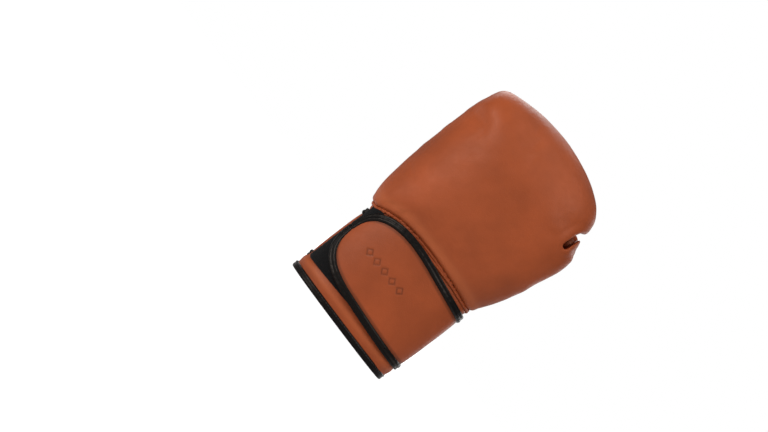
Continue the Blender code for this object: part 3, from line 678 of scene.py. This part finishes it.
# ---- pieces ----
def add_piece(name, mesh, finish, slot, body="glove", stands_for=(), fill=None):
    """A piece in the scene, attached to its body, with the nodes that it stands for hidden; its slot and its
    padding are not used.
    """
    item = bpy.data.objects.new(name, mesh)
    bpy.context.scene.collection.objects.link(item)
    mesh.materials.append(finish)
    if body:
        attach(item, body)
    if stands_for:
        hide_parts(*stands_for)
    return item


def shade_values(mesh, name, values):
    """Values from 0 to 1 at the mesh's points, which the leather reads by name."""
    attribute = mesh.attributes.new(name, "FLOAT", "POINT")
    attribute.data.foreach_set("value", np.asarray(values, np.float32))


def shell(name, points, normals, faces, dark, painted_highlight, thickness=1.6):
    """Leather cut out of the body: the outer face, an inner face and the cut edge between."""
    used = np.unique(faces)
    index = np.full(len(points), -1)
    index[used] = np.arange(len(used))
    outer, n = points[used], normals[used]
    quads = index[faces]
    edges = edges_of(quads)
    _, first, count = np.unique(np.sort(edges, axis=1), axis=0, return_index=True, return_counts=True)
    rim = edges[first[count == 1]]
    k = len(used)
    walls = np.stack([rim[:, 1], rim[:, 0], rim[:, 0] + k, rim[:, 1] + k], 1)
    mesh = mesh_of(name, np.vstack([outer, outer - thickness * n]),
                   np.concatenate([quads, quads[:, ::-1] + k, walls]))
    mesh.normals_split_custom_set_from_vertices([tuple(v) for v in np.vstack([n, -n])])
    # The painted shade and the painted highlight, which the leather reads.
    shade_values(mesh, "painted_shade", np.tile(dark[used], 2))
    shade_values(mesh, "painted_highlight", np.tile(painted_highlight[used], 2))
    return mesh


def solid_mesh(name, points, faces, weld=False):
    """A closed mesh with its faces turned outwards and, on request, its doubled points merged."""
    mesh = mesh_of(name, points, faces)
    work = bmesh.new()
    work.from_mesh(mesh)
    if weld:
        bmesh.ops.remove_doubles(work, verts=work.verts, dist=1e-6)
    bmesh.ops.recalc_face_normals(work, faces=work.faces)
    work.to_mesh(mesh)
    work.free()
    mesh.shade_smooth()
    return mesh


def bands(rows, size, start=0):
    """Faces between rings of one size, from the point numbered start."""
    return [(a + j, a + (j + 1) % size, a + size + (j + 1) % size, a + size + j)
            for a in range(start, start + (rows - 1) * size, size) for j in range(size)]


def tube(name, rings):
    """A closed tube through rings of points, with capped ends."""
    rings = np.asarray(rings, float)
    rows, size = rings.shape[:2]
    caps = [tuple(range(size))[::-1], tuple(range((rows - 1) * size, rows * size))]
    return solid_mesh(name, rings.reshape(-1, 3), bands(rows, size) + caps)


def swept(line, up, profile):
    """Rings of a profile of points (across, out), or of one profile for each point, along a line."""
    tangent = unit(np.gradient(line, axis=0))
    side = unit(np.cross(up, tangent))
    out = np.cross(tangent, side)
    profile = np.asarray(profile, float)
    return line[:, None] + profile[..., :1] * side[:, None] + profile[..., 1:] * out[:, None]


def round_profile(radius, count=12):
    a = np.arange(count) * 2 * math.pi / count
    return radius * np.stack([np.cos(a), np.sin(a)], 1)


def with_domes(line, radius):
    """A line and its radii with a rounded start and end."""
    first, last = unit(line[0] - line[1]), unit(line[-1] - line[-2])
    turn = np.radians([80, 55, 30])
    start = [line[0] + first * radius[0] * math.sin(t) for t in turn]
    end = [line[-1] + last * radius[-1] * math.sin(t) for t in turn[::-1]]
    radii = np.concatenate([radius[0] * np.cos(turn), radius, radius[-1] * np.cos(turn[::-1])])
    return np.vstack([start, line, end]), radii


# A stitch's stations: share of its length, share of its radius, height over the leather.
STITCH = [(-0.5, 0.0, -0.55), (-0.42, 0.75, -0.15), (-0.2, 1, 0.25), (0.2, 1, 0.25), (0.42, 0.75, -0.15),
          (0.5, 0.0, -0.55)]


def stitched(name, runs, finish, slot, pitch=3.1, length=2.1, radius=0.36, lift=0.05, **more):
    """Thread lying in short stitches along lines, each a pair (points, directions out)."""
    points, faces = [], []
    sides = 6
    section = round_profile(1, sides)
    for line, out in runs:
        along = lengths(line)
        count = max(int(along[-1] / pitch), 1)
        for at in (np.arange(count) + 0.5) * along[-1] / count:
            centre = sampled(at, along, line)
            t = unit(sampled(at + 0.6, along, line) - sampled(at - 0.6, along, line))
            n = sampled(at, along, out)
            n = unit(n - t * (n @ t))
            s = np.cross(n, t)
            base = len(points)
            for share, size, height in STITCH:
                middle = centre + t * share * length + n * (lift + height * radius * 1.6)
                spokes = [radius * size * (c * s + d * n) for c, d in section]
                points += [middle + spoke for spoke in spokes] if size else [middle]
            first, last, tip = base + 1, base + 1 + 3 * sides, base + 1 + 4 * sides
            faces += [(base, first + (j + 1) % sides, first + j) for j in range(sides)]
            faces += bands(4, sides, first)
            faces += [(last + j, last + (j + 1) % sides, tip) for j in range(sides)]
    return add_piece(name, mesh_of(name, points, faces), finish, slot, **more)


def beside(line, out, distance):
    """The line moved sideways over the surface."""
    return line + unit(np.cross(out, np.gradient(line, axis=0))) * distance


# ---- the leather body ----
def vent_field(x, y, z):
    """The slit in the palm."""
    return np.maximum.reduce([np.abs(x - VENT_X) - VENT(z), 17.5 - y, z - 166.5])


def body_with_vent(x, y, z):
    return carve(field(x, y, z), vent_field(x, y, z), 1.2)


def plate_lift(points):
    """The stitched plate round the vent lies on the palm like a second layer."""
    x, y, z = points.T
    inside = np.minimum(PLATE(z) - np.abs(x - VENT_X), (181 - z) * 0.8)
    return 1.0 * smooth(-0.3, 1.4, inside) * smooth(16, 24, y) * smooth(80, 88, z)


def run(plan, distance=0.0):
    """A line of stitches, beside a line on the leather."""
    on, out = skin.nearest(plan if isinstance(plan, np.ndarray) else skin.drawn(plan))
    return skin.nearest(beside(on, out, distance))[0] if distance else on


def relaid(lines):
    """The lines back on the leather once it is pressed, with the directions out of it."""
    return [skin.nearest(line) for line in lines]


def plate_outline(inset):
    """The plate's outline, moved in by some millimetres, from one leg to the other."""
    heights = np.arange(96, 178, 3.0)
    eased = np.minimum(heights + inset * 0.75 * smooth(150, 180, heights), 181)
    half = np.maximum(PLATE(eased) - inset, 0)
    wide = half > 2.5
    left, right = ([(VENT_X + s * h, z) for h, z in zip(half[wide], heights[wide])] for s in (-1, 1))
    return left + [(VENT_X, 180.7 - inset * 1.05)] + right[::-1]


def seam_stitches():
    """Runs of stitches beside the seams: on the palm, on the thumb and on the plate."""
    little = skin.nearest(through(LITTLE_SEAM))[0]
    side = skin.nearest(through(side_seam))[0]
    palm = [run(SEAM_UPPER, 1.9), run(SEAM_MIDDLE, 1.9), run(SEAM_MIDDLE, -1.9), run(SEAM_ARCH, 1.9),
            run(SEAM_ARCH, -1.9), run(GUSSET_ARC, 1.8), run(little, 2.0)]
    thumb = [run(THUMB_WELT, 7.0), run(THUMB_SEAM, 1.8), run(side, 2.0)]
    plate = [run(plate_outline(1.7)), run(plate_outline(4.4))]
    for s in (-1, 1):  # a crossed box on each leg of the plate
        near, far = VENT_X + s * 9.6, VENT_X + s * 15.2
        for start, end in (((near, 157), (far - s * 0.6, 157)),
                           ((near - s * 3, 127.5), (far - s * 0.2, 127.5)),
                           ((near, 156), (far - s * 0.4, 128.5)),
                           ((near - s * 3, 128.5), (far - s * 0.6, 156))):
            start, end = np.array(start), np.array(end)
            plate.append(run([tuple(start + (end - start) * t) for t in (0, 0.33, 0.67, 1)]))
    return palm, thumb, plate


def at_slot(points):
    """1 in the narrow slot over the thumb and 0 away from it."""
    x, y, z = points.T
    return (1 - smooth(6, 13, segments_distance(x, z, TAB_SLOT))) * (1 - smooth(4, 12, y))


def swell(points, seams):
    """Lets the padding push the leather out between its seams, as a cloth under pressure."""
    coarse, quads = surface_of(body_with_vent, *BODY_BOX, SIM_CELL)
    coarse = relaxed(coarse, quads, 2, 0.4)
    held = (coarse[:, 2] < 104) | (field(*coarse.T) < -1.5)
    for seam in seams:
        held |= distance_to(coarse, seam[0]) < 4.5
    held |= (vent_field(*coarse.T) < 5) | (at_slot(coarse) > 0.1)
    item = bpy.data.objects.new("swell", mesh_of("swell", coarse, quads))
    bpy.context.scene.collection.objects.link(item)
    item.vertex_groups.new(name="held").add([int(i) for i in np.flatnonzero(held)], 1.0, "REPLACE")
    cloth = item.modifiers.new("cloth", "CLOTH")
    rules = cloth.settings
    rules.vertex_group_mass = "held"
    rules.quality, rules.mass = 6, 0.3
    rules.tension_stiffness = rules.compression_stiffness = 12
    rules.shear_stiffness, rules.bending_stiffness = 5, 0.4
    rules.use_pressure, rules.uniform_pressure_force = True, PRESSURE
    rules.effector_weights.gravity = 0
    cloth.point_cache.frame_start, cloth.point_cache.frame_end = 1, SIM_FRAMES
    for frame_number in range(1, SIM_FRAMES + 1):
        bpy.context.scene.frame_set(frame_number)
    done = item.evaluated_get(bpy.context.evaluated_depsgraph_get()).to_mesh()
    moved = np.empty(len(coarse) * 3)
    done.vertices.foreach_get("co", moved)
    shift = moved.reshape(-1, 3) / MM - coarse
    bpy.context.scene.frame_set(1)
    bpy.data.objects.remove(item)
    size = np.linalg.norm(shift, axis=1)
    shift *= (np.minimum(size, SWELL_CAP) / np.maximum(size, 1e-6))[:, None]
    tree = tree_of(coarse)
    out = np.empty_like(points)
    for i, p in enumerate(points):
        near = tree.find_n(p, 6)
        index, far = [n[1] for n in near], np.array([n[2] for n in near])
        weight = 1 / (far**2 + 4)
        out[i] = (shift[index] * weight[:, None]).sum(0) / weight.sum()
    return points + out


points, faces = surface_of(body_with_vent, *BODY_BOX, CELL)
points = relaxed(points, faces, 2, 0.4)
skin = Skin(points, faces)
side_seam = side_crease(points)
drawn_in = (DRAWN_IN * smooth(100, 112, points[:, 2]) * (1 - at_slot(points)))[:, None]
points = swell(points, seam_list(skin, side_seam)) - drawn_in * normals_of(points, faces)
skin = Skin(points, faces)
normals = normals_of(points, faces)
seams = seam_list(skin, side_seam)
palm_runs, thumb_runs, plate_runs = seam_stitches()
lifted = points + normals * plate_lift(points)[:, None]
points, dark, painted_highlight = press(lifted, normals, seams, palm_runs + thumb_runs + plate_runs, skin)
points = relaxed(points, faces, 1, 0.25)
normals = normals_of(points, faces)
skin = Skin(points, faces)

centre = points[faces].mean(1)
x, y, z = centre.T
HEM_CUT = 3.5  # the leather ends here, inside the hem's binding
kept = points[faces][:, :, 2].min(1) > HEM_CUT


def line_at(at, plan, known=0, wanted=1):
    """A line of points read as one coordinate over another."""
    steps = np.array(sorted((p[known], p[wanted]) for p in plan))
    return np.interp(at, steps[:, 0], steps[:, 1])


welt_x, seam_x = line_at(z, THUMB_WELT, 1, 0), line_at(z, THUMB_SEAM, 1, 0)
little_y, thumb_y = line_at(z, LITTLE_SEAM, 2, 1), line_at(z, side_seam, 2, 1)
is_cuff = z < wrist_seam(x, y)
nearer = thumb_field(x, y, z) < np.minimum(body_field(x, y, z), roll_field(x, y, z)) + 1.0
is_thumb = ~is_cuff & (y > thumb_y) & (((x > welt_x) & (z < 193)) | (nearer & (z >= 188))) & (z < 236)
roll_edge = line_at(x, ROLL_EDGE + GUSSET_ARC)
palm_side = ~is_cuff & ~is_thumb & (y > np.where(x < 0, little_y, 0)) & (z < roll_edge)
labels = np.select(
    [is_cuff, is_thumb & (x < seam_x) & (y > 4), is_thumb, palm_side & (z < line_at(x, SEAM_ARCH)),
     palm_side & (z < line_at(x, SEAM_MIDDLE)), palm_side & (x < -36) & (z > line_at(x, SEAM_UPPER)),
     palm_side & (x > 47), palm_side],
    list(range(8)), 8)
# In the order of the labels: name, finish, the nodes it stands for, how full its padding is.
LEATHERS = [
    ("cuff_leather", TAN, ("cuff_shell", "cuff_padding"), 0.8),
    ("thumb_inner_leather", TAN_PALM, ("thumb_inner_panel",), None),
    ("thumb_outer_leather", TAN, ("thumb_outer_panel", "thumb_padding"), 0.8),
    ("palm_leather", TAN_PALM, ("palm_panel", "palm_padding"), 0.5),
    ("grip_leather_lower", TAN_PALM, ("grip_band_lower",), None),
    ("finger_gusset_little_leather", TAN_PALM, ("finger_gusset_little",), None),
    ("finger_gusset_index_leather", TAN_PALM, ("finger_gusset_index",), None),
    ("grip_leather_upper", TAN_PALM, ("grip_band_upper", "grip_bar"), 0.7),
    ("back_leather", TAN, ("back_panel", "back_padding"), 0.9),
]
for number, (name, finish, nodes, fill) in enumerate(LEATHERS):
    chosen = faces[kept & (labels == number)]
    mesh = shell(name, points, normals, chosen, dark, painted_highlight)
    add_piece(name, mesh, finish, "tan_leather", stands_for=nodes, fill=fill)

# ---- stitches on the leather ----
stitched("palm_stitches", relaid(palm_runs), THREAD, "tan_leather")
stitched("thumb_stitches", relaid(thumb_runs), THREAD, "tan_leather")
stitched("vent_plate_stitches", relaid(plate_runs), THREAD, "tan_leather", stands_for=("vent_patch",),
         length=1.9, pitch=2.8)

# ---- the vent's padded rolls ----
for name, node, s in (("vent_roll_little_leather", "vent_roll_little", -1),
                      ("vent_roll_thumb_leather", "vent_roll_thumb", 1)):
    heights = np.arange(96, 165.1, 3.0)
    width = VENT(heights) + 0.9
    on = skin.seen([(VENT_X + s * (VENT(h) + 5), h) for h in heights], 1)
    line = np.stack([VENT_X + s * width * 0.52, on[:, 1] - 0.9 - 0.25 * width, heights], 1)
    line, radii = with_domes(line, width * 0.52)
    rings = swept(line, np.array([0.0, 1.0, 0.0]), round_profile(radii[:, None, None], 14))
    add_piece(name, tube(name, rings), BLACK, "black_binding", stands_for=(node,), fill=0.8)

# ---- the double welt at the wrist ----
for name, lift, radius, nodes in (("wrist_welt_upper", 0.4, 1.6, ("wrist_welt",)),
                                  ("wrist_welt_lower", -3.0, 1.35, ())):
    line, out = skin.nearest(through(wrist_line(-200, 20, lift)))
    rings = swept(line + out * 1.15, out, round_profile(radius))
    add_piece(name, tube(name, rings), TAN, "tan_leather", stands_for=nodes)

# ---- the tab that ties the thumb ----
TAB_LINE = [(70.2, -10, 212.5), (70.5, -27, 214.5), (70.7, -31, 218), (71.0, -30.5, 222.5),
            (71.4, -22, 226)]
TAB_PROFILE = [(-2.1, -0.8), (-2.1, 0.5), (-1.7, 0.8), (1.7, 0.8), (2.1, 0.5), (2.1, -0.8)]
rings = swept(through(TAB_LINE), np.array([0.0, -1.0, 0.0]), TAB_PROFILE)
add_piece("thumb_tab_strap", tube("thumb_tab_strap", rings), TAN_EDGE, "dark_leather",
          stands_for=("thumb_tab",))


# ---- cuff: oval, hem, lining ----
def oval(angle, out=0.0, z=55.0):
    """A point of the cuff's outline seen from above, moved out by some millimetres."""
    share = min(max(z / 111.5, 0), 1)
    half_x, half_y = 67 - 1.5 * share, 36 - share
    c, s = math.cos(angle), math.sin(angle)
    reach = ((abs(c) / (half_x + out)) ** 2.5 + (abs(s) / (half_y + out)) ** 2.5) ** (-0.4)
    return CX + reach * c, CY + reach * s


HEM = [(0.4, 6.9), (1.5, 6.2), (1.9, 4.6), (1.5, 3.4), (1.75, 2.2), (1.7, 1.0), (0.9, 0.15), (-1.5, 0),
       (-9.5, 0), (-11.4, 0.3), (-12.2, 1.4), (-12.2, 5.4), (-11.4, 6.6), (-9.8, 7.0), (-5, 6.4),
       (-1.8, 6.6)]  # out from the cuff, height


def hem_ring(angle):
    """The binding's profile round the cuff's mouth, a little rippled on its outer side."""
    ripple = 0.12 * math.sin(23 * angle) + 0.1 * math.sin(41 * angle + 1)
    return [(*oval(angle, out + (ripple if out > 0 else 0), 3), z) for out, z in HEM]


slit = math.asin(2.2 / 36)  # half of the cuff's slit, as an angle
turns = np.linspace(math.pi / 2 + slit, 5 * math.pi / 2 - slit, 150)
add_piece("hem_binding_leather", tube("hem_binding_leather", [hem_ring(a) for a in turns]), BLACK,
          "black_binding", stands_for=("hem_binding",))
hem_line = evenly(np.array([(*oval(a, 1.75, 4), 5.3) for a in turns]), 1.0)
stitched("hem_stitches", [(hem_line, unit(hem_line - (CX, CY, 5.3)))], BLACK_THREAD, "black_binding",
         lift=-0.1)


def lining_field(x, y, z):
    """The room inside the leather and its padding."""
    return np.maximum(field(x, y, z) + 11.2, y - PALM_Y(z) + 11)


inner, inner_faces = surface_of(lining_field, (-90, -60, -8), (90, 40, 262), 2.6)
inner = relaxed(inner, inner_faces, 3, 0.5)
n = normals_of(inner, inner_faces)
fold = np.sin(inner[:, 0] * 0.5 + 2 * np.sin(inner[:, 2] * 0.07)) * 0.35
inner = inner + n * fold[:, None]
n = normals_of(inner, inner_faces)
open_end = inner_faces[inner[inner_faces][:, :, 2].min(1) > 3.0]
unshaded = np.zeros(len(inner))
add_piece("satin_lining", shell("satin_lining", inner, n, open_end, unshaded, unshaded, 0.8), SATIN,
          "lining", stands_for=("hand_lining", "cuff_lining"))


# ---- strap ----
# Over the angle round the cuff, in degrees, with 0 at the thumb and -90 at the back.
TOP_EDGE = table([(-150, 105.4), (-130, 106.2), (-110, 106.4), (-90, 105.8), (-70, 104.3), (-45, 101.6),
                  (-20, 98.2), (0, 96.3), (20, 94), (60, 90), (110, 87.8), (190, 87.3)], 4)
LOW_EDGE = table([(-160, 25.6), (-130, 24.9), (-90, 23.4), (-60, 22.0), (-30, 20.6), (0, 19.8), (40, 19.3),
                  (190, 19.2)], 4)
NOSE_X = -65.0
BAND = 2.6  # from the strap's edge to the middle of its binding's roll
PANEL_INSET = BAND + 1.2  # from the strap's edge to its leather's, which is under the binding
OUTSET = table([(-160, 4.3), (-75, 4.2), (-45, 3.2), (-20, 2.4), (40, 2.3), (150, 2.1), (165, 1.6),
                (176, 0.4), (190, -1.0)], 3)


def strap_out(angle):
    """From the cuff to the middle of the strap's edge; the strap lies tighter where it is sewn on."""
    return float(OUTSET(angle / DEG))


def strap_edges(angle, inset):
    """Heights of the strap's two edges, moved in by some millimetres, with the flap's round nose."""
    degrees = angle / DEG
    low, high = float(LOW_EDGE(degrees)) + inset, float(TOP_EDGE(degrees)) - inset
    x = oval(angle, strap_out(angle))[0] - CX
    if angle < -math.pi / 2:
        reach = min(x / (NOSE_X - CX + inset), 1.0)
        narrow = (1 - reach**3.0) ** (1 / 3.0)
        middle, half = (low + high) / 2, (high - low) / 2
        low, high = middle - half * narrow, middle + half * narrow
    return low, high


def angle_at(x):
    """The angle on the cuff's back at which the strap reaches x."""
    low, high = -math.pi + 0.01, -0.01
    for _ in range(40):
        middle = (low + high) / 2
        low, high = (middle, high) if oval(middle, strap_out(middle))[0] < x else (low, middle)
    return (low + high) / 2


def panel_out(angle, v, x):
    """How far the strap's leather stands off the cuff: padded, and thin at its edges."""
    crown = 1 - (2 * v - 1) ** 4
    return strap_out(angle) + 0.55 + 0.8 * crown + 0.12 * math.sin(0.11 * x + 3 * v) * crown


def slab_between(name, outer, inner, size):
    """A closed slab between two grids of points, each in rows of one size."""
    rows, k = len(outer) // size, len(outer)
    quad = [(i * size + j, i * size + j + 1, (i + 1) * size + j + 1, (i + 1) * size + j)
            for i in range(rows - 1) for j in range(size - 1)]
    rim = [i * size for i in range(rows)] + [(rows - 1) * size + j for j in range(1, size)]
    rim += [i * size + size - 1 for i in range(rows - 2, -1, -1)] + list(range(size - 2, 0, -1))
    walls = [(a, b, b + k, a + k) for a, b in zip(rim, rim[1:] + rim[:1])]
    under = [tuple(v + k for v in q[::-1]) for q in quad]
    return solid_mesh(name, outer + inner, quad + under + walls, weld=True)


LOZENGES, LOZENGE_X, LOZENGE_Z, LOZENGE_PITCH = 5, -31, 66.5, 10  # how many, and where


def lozenges(x, z):
    """A row of plain lozenges in outline, pressed into the flap: 1 in their grooves and 0 elsewhere."""
    nearest = min(max(round((x - LOZENGE_X) / LOZENGE_PITCH), 0), LOZENGES - 1)
    reach = abs(x - LOZENGE_X - nearest * LOZENGE_PITCH) / 4.0 + abs(z - LOZENGE_Z) / 4.6
    return float(smooth(0.52, 0.72, reach) * (1 - smooth(0.92, 1.12, reach)))


def strap_panel(name, angles, columns=26, motif=None):
    """The padded leather between the bindings, with painted shade where it goes under them and in its
    pressed lozenges.
    """
    outer, inner, dark = [], [], []
    for angle in angles:
        low, high = strap_edges(angle, PANEL_INSET)
        x = oval(angle)[0]
        for v in np.linspace(0, 1, columns + 1):
            z = low + (high - low) * v
            pressed = motif(x, z) if motif else 0.0
            outer.append((*oval(angle, panel_out(angle, v, x) - 0.55 * pressed), z))
            inner.append((*oval(angle, strap_out(angle) - 0.8), z))
            # Painted shade where the leather goes under the bindings, and in the lozenges' grooves.
            binding_shade = math.exp(-((max(min(z - low, high - z) - 3.0, 0) / 1.1) ** 2))
            dark.append(max(0.55 * binding_shade, 0.5 * pressed))
    mesh = slab_between(name, outer, inner, columns + 1)
    tree = tree_of(outer + inner)
    shade_values(mesh, "painted_shade", [dark[tree.find(v.co / MM)[1] % len(dark)] for v in mesh.vertices])
    return mesh


BINDING = [(-2.7, 0.0), (-2.4, 1.25), (-1.5, 2.2), (-0.1, 2.55), (1.2, 2.15), (1.9, 1.62), (2.5, 1.72),
           (3.6, 1.85), (4.6, 1.75), (5.1, 1.3), (5.0, 0.2), (4.4, -0.9), (2.4, -1.2), (0.6, -1.9),
           (-1.1, -1.8), (-2.3, -1.1)]


def binding_line(angles, upper):
    """The line that the binding's roll follows, at the strap's upper or lower edge."""
    return np.array([(*oval(a, strap_out(a)), strap_edges(a, BAND)[1 if upper else 0]) for a in angles])


def outward(line):
    """Directions away from the cuff's axis, square to its oval."""
    out = np.zeros_like(line)
    out[:, 0] = np.sign(line[:, 0] - CX) * (np.abs(line[:, 0] - CX) / 71) ** 1.5 / 71
    out[:, 1] = np.sign(line[:, 1] - CY) * (np.abs(line[:, 1] - CY) / 40) ** 1.5 / 40
    return unit(out)


def binding(name, line, panel_side):
    """The padded edge; panel_side is 1 or -1, for the side of the line that the panel is on."""
    line = evenly(line, 1.6)
    out = outward(line)
    ripple = 0.10 * np.sin(np.arange(len(line)) * 1.9) + 0.08 * np.sin(np.arange(len(line)) * 0.83 + 1)
    profile = [(panel_side * a, b) for a, b in BINDING]
    return tube(name, swept(line + out * ripple[:, None], out, profile))


JOIN = 6 * DEG  # where the strap's two lengths of leather are sewn together
palm_angles = np.linspace(185 * DEG, JOIN, 60)
straight = list(np.linspace(JOIN, angle_at(CX), 90))
quarter = np.linspace(0, math.pi / 2, 81)[1:]
flap_angles = straight + [angle_at(CX + (NOSE_X - CX) * math.sin(t)) for t in quarter]
panel_angles = straight + [angle_at(CX + (NOSE_X + PANEL_INSET - CX) * math.sin(t)) for t in quarter]


def on_palm(item):
    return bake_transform(item)


def on_back(item):
    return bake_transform(item)


on_palm(add_piece("strap_leather_palm", strap_panel("strap_leather_palm", palm_angles), TAN,
                  "tan_leather", None, ("strap_base_panel",), 0.4))
on_back(add_piece("strap_leather_back", strap_panel("strap_leather_back", panel_angles, 100, lozenges), TAN,
                  "tan_leather", None, ("strap_side_panel", "strap_flap_panel"), 0.4))
for name, upper, node in (("strap_edge_palm_upper", True, "strap_base_binding_upper"),
                          ("strap_edge_palm_lower", False, "strap_base_binding_lower")):
    mesh = binding(name, binding_line(palm_angles, upper), -1 if upper else 1)
    on_palm(add_piece(name, mesh, BLACK, "black_binding", None, (node,)))
outline = np.vstack([binding_line(flap_angles, False), binding_line(flap_angles, True)[-2::-1]])
on_back(add_piece("strap_edge_back", binding("strap_edge_back", outline, 1), BLACK, "black_binding", None,
                  ("strap_side_binding_upper", "strap_side_binding_lower", "strap_flap_binding")))
sewn = []
for angle in (JOIN - 1.8 * DEG, JOIN + 1.8 * DEG):
    low, high = strap_edges(angle, PANEL_INSET)
    shares = np.linspace(0.08, 0.92, 60)
    stand_off = [panel_out(angle, v, oval(angle)[0]) for v in shares]
    line = np.array([(*oval(angle, off), low + (high - low) * v) for off, v in zip(stand_off, shares)])
    sewn.append((line, outward(line)))
stitched("strap_stitches", sewn, THREAD, "tan_leather", body="strap_turn")


# ---- hook tape and loop pad ----
def tape_patch(name, start, end, bottom, top, out, thickness, rough=0.0, tilt=0.0):
    """A patch of tape on the back of the cuff, with rounded corners and a rough face."""
    angles, rows, corner = np.linspace(start, end, 90), 60, 4.0
    outer, inner = [], []
    for i, angle in enumerate(angles):
        inside = min(i, len(angles) - 1 - i)
        cut = max(corner - inside * 1.24, 0)
        drop = corner - math.sqrt(corner**2 - cut**2)
        low, high = bottom + drop + tilt * (oval(angle)[0] + 66), top - drop
        for j in range(rows + 1):
            speck = math.sin(i * 12.9898 + j * 78.233) * 43758.5453 % 1.0
            fuzz = rough * speck if min(inside, j, rows - j) else -0.4 * thickness
            z = low + (high - low) * j / rows
            outer.append((*oval(angle, out + thickness + fuzz), z))
            inner.append((*oval(angle, out), z))
    return slab_between(name, outer, inner, rows + 1)


pile = tape_patch("loop_field", 191 * DEG, 305 * DEG, 18.2, 98.5, 0.4, 1.6, 0.5, 0.052)
add_piece("loop_field", pile, LOOP, "hook_and_loop", stands_for=("loop_pad",))
hooks = tape_patch("hook_field", angle_at(-50), angle_at(20), 33, 96, 2.2, 1.2)
add_piece("hook_field", hooks, HOOK, "hook_and_loop", "strap_flap", ("hook_tape",))


# ---- stage, light and camera ----
def soft_light(name, place, aim, power, width, height):
    data = bpy.data.lights.new(name, "AREA")
    data.shape, data.size, data.size_y, data.energy = "RECTANGLE", width, height, power
    item = bpy.data.objects.new(name, data)
    bpy.context.scene.collection.objects.link(item)
    item.location = place
    item.rotation_euler = (Vector(aim) - Vector(place)).to_track_quat("-Z", "Y").to_euler()
    item.visible_camera = False


scene = bpy.context.scene
scene.view_settings.view_transform = "Standard"
world = bpy.data.worlds.new("studio")
world.use_nodes = True
scene.world = world
tree = world.node_tree
backdrop = tree.nodes["Background"]
backdrop.inputs["Color"].default_value = (1, 1, 1, 1)
fill_light = add_node(tree, "Background", Color=(1.0, 0.985, 0.97, 1), Strength=0.17)
seen = add_node(tree, "LightPath").outputs["Is Camera Ray"]
mix = add_node(tree, "MixShader", [(0, seen), (1, fill_light.outputs[0]), (2, backdrop.outputs[0])])
tree.links.new(mix.outputs[0], tree.nodes["World Output"].inputs["Surface"])

FLOOR_RADIUS = 4  # metres
floor = bpy.data.objects.new("floor", bpy.data.meshes.new("floor"))
rim = [(FLOOR_RADIUS * math.cos(a), FLOOR_RADIUS * math.sin(a), 0) for a in np.arange(64) * math.pi / 32]
floor.data.from_pydata(rim, [], [tuple(range(64))])
scene.collection.objects.link(floor)
pale, tree, shader = new_material("pale_floor", 0.8, 0.2)
shader.inputs["Base Color"].default_value = (0.8, 0.8, 0.8, 1)
shader.inputs["Emission Color"].default_value = (1, 1, 1, 1)
away = add_node(tree, "VectorMath", [(0, placed(tree))], operation="LENGTH")
glow = ranged(tree, away.outputs["Value"], 0.12, 0.8, 0.68, 1.0)
seen = add_node(tree, "LightPath").outputs["Is Camera Ray"]
direct = add_node(tree, "Math", [(0, glow), (1, seen)], operation="MULTIPLY")
finished(pale, tree, shader, Emission_Strength=direct.outputs[0])
floor.data.materials.append(pale)

soft_light("key", (-1.05, -1.05, 0.5), (0, 0, 0.14), 11.0, 0.9, 0.9)
soft_light("second", (0.62, -1.05, 1.15), (0, 0, 0.14), 7.0, 0.9, 0.9)
soft_light("top", (0.1, -0.3, 1.5), (0, 0, 0.2), 2.6, 0.9, 0.9)
soft_light("palm", (-0.5, 1.2, 1.0), (0, 0, 0.14), 8.0, 1.0, 0.9)
soft_light("palm_side", (0.9, 1.25, 0.5), (0, 0, 0.14), 3.6, 0.5, 1.0)

data = bpy.data.cameras.new("camera")
data.lens, data.sensor_width = 100, 36
camera = bpy.data.objects.new("camera", data)
scene.collection.objects.link(camera)
camera.matrix_world = Matrix.Translation((-0.0541, -2.035, 0.0973)) @ Matrix(
    ((0.6028, -0.7988, 0, 0), (0, 0, -1, 0), (0.7988, 0.6028, 0, 0), (0, 0, 0, 1)))
scene.camera = camera
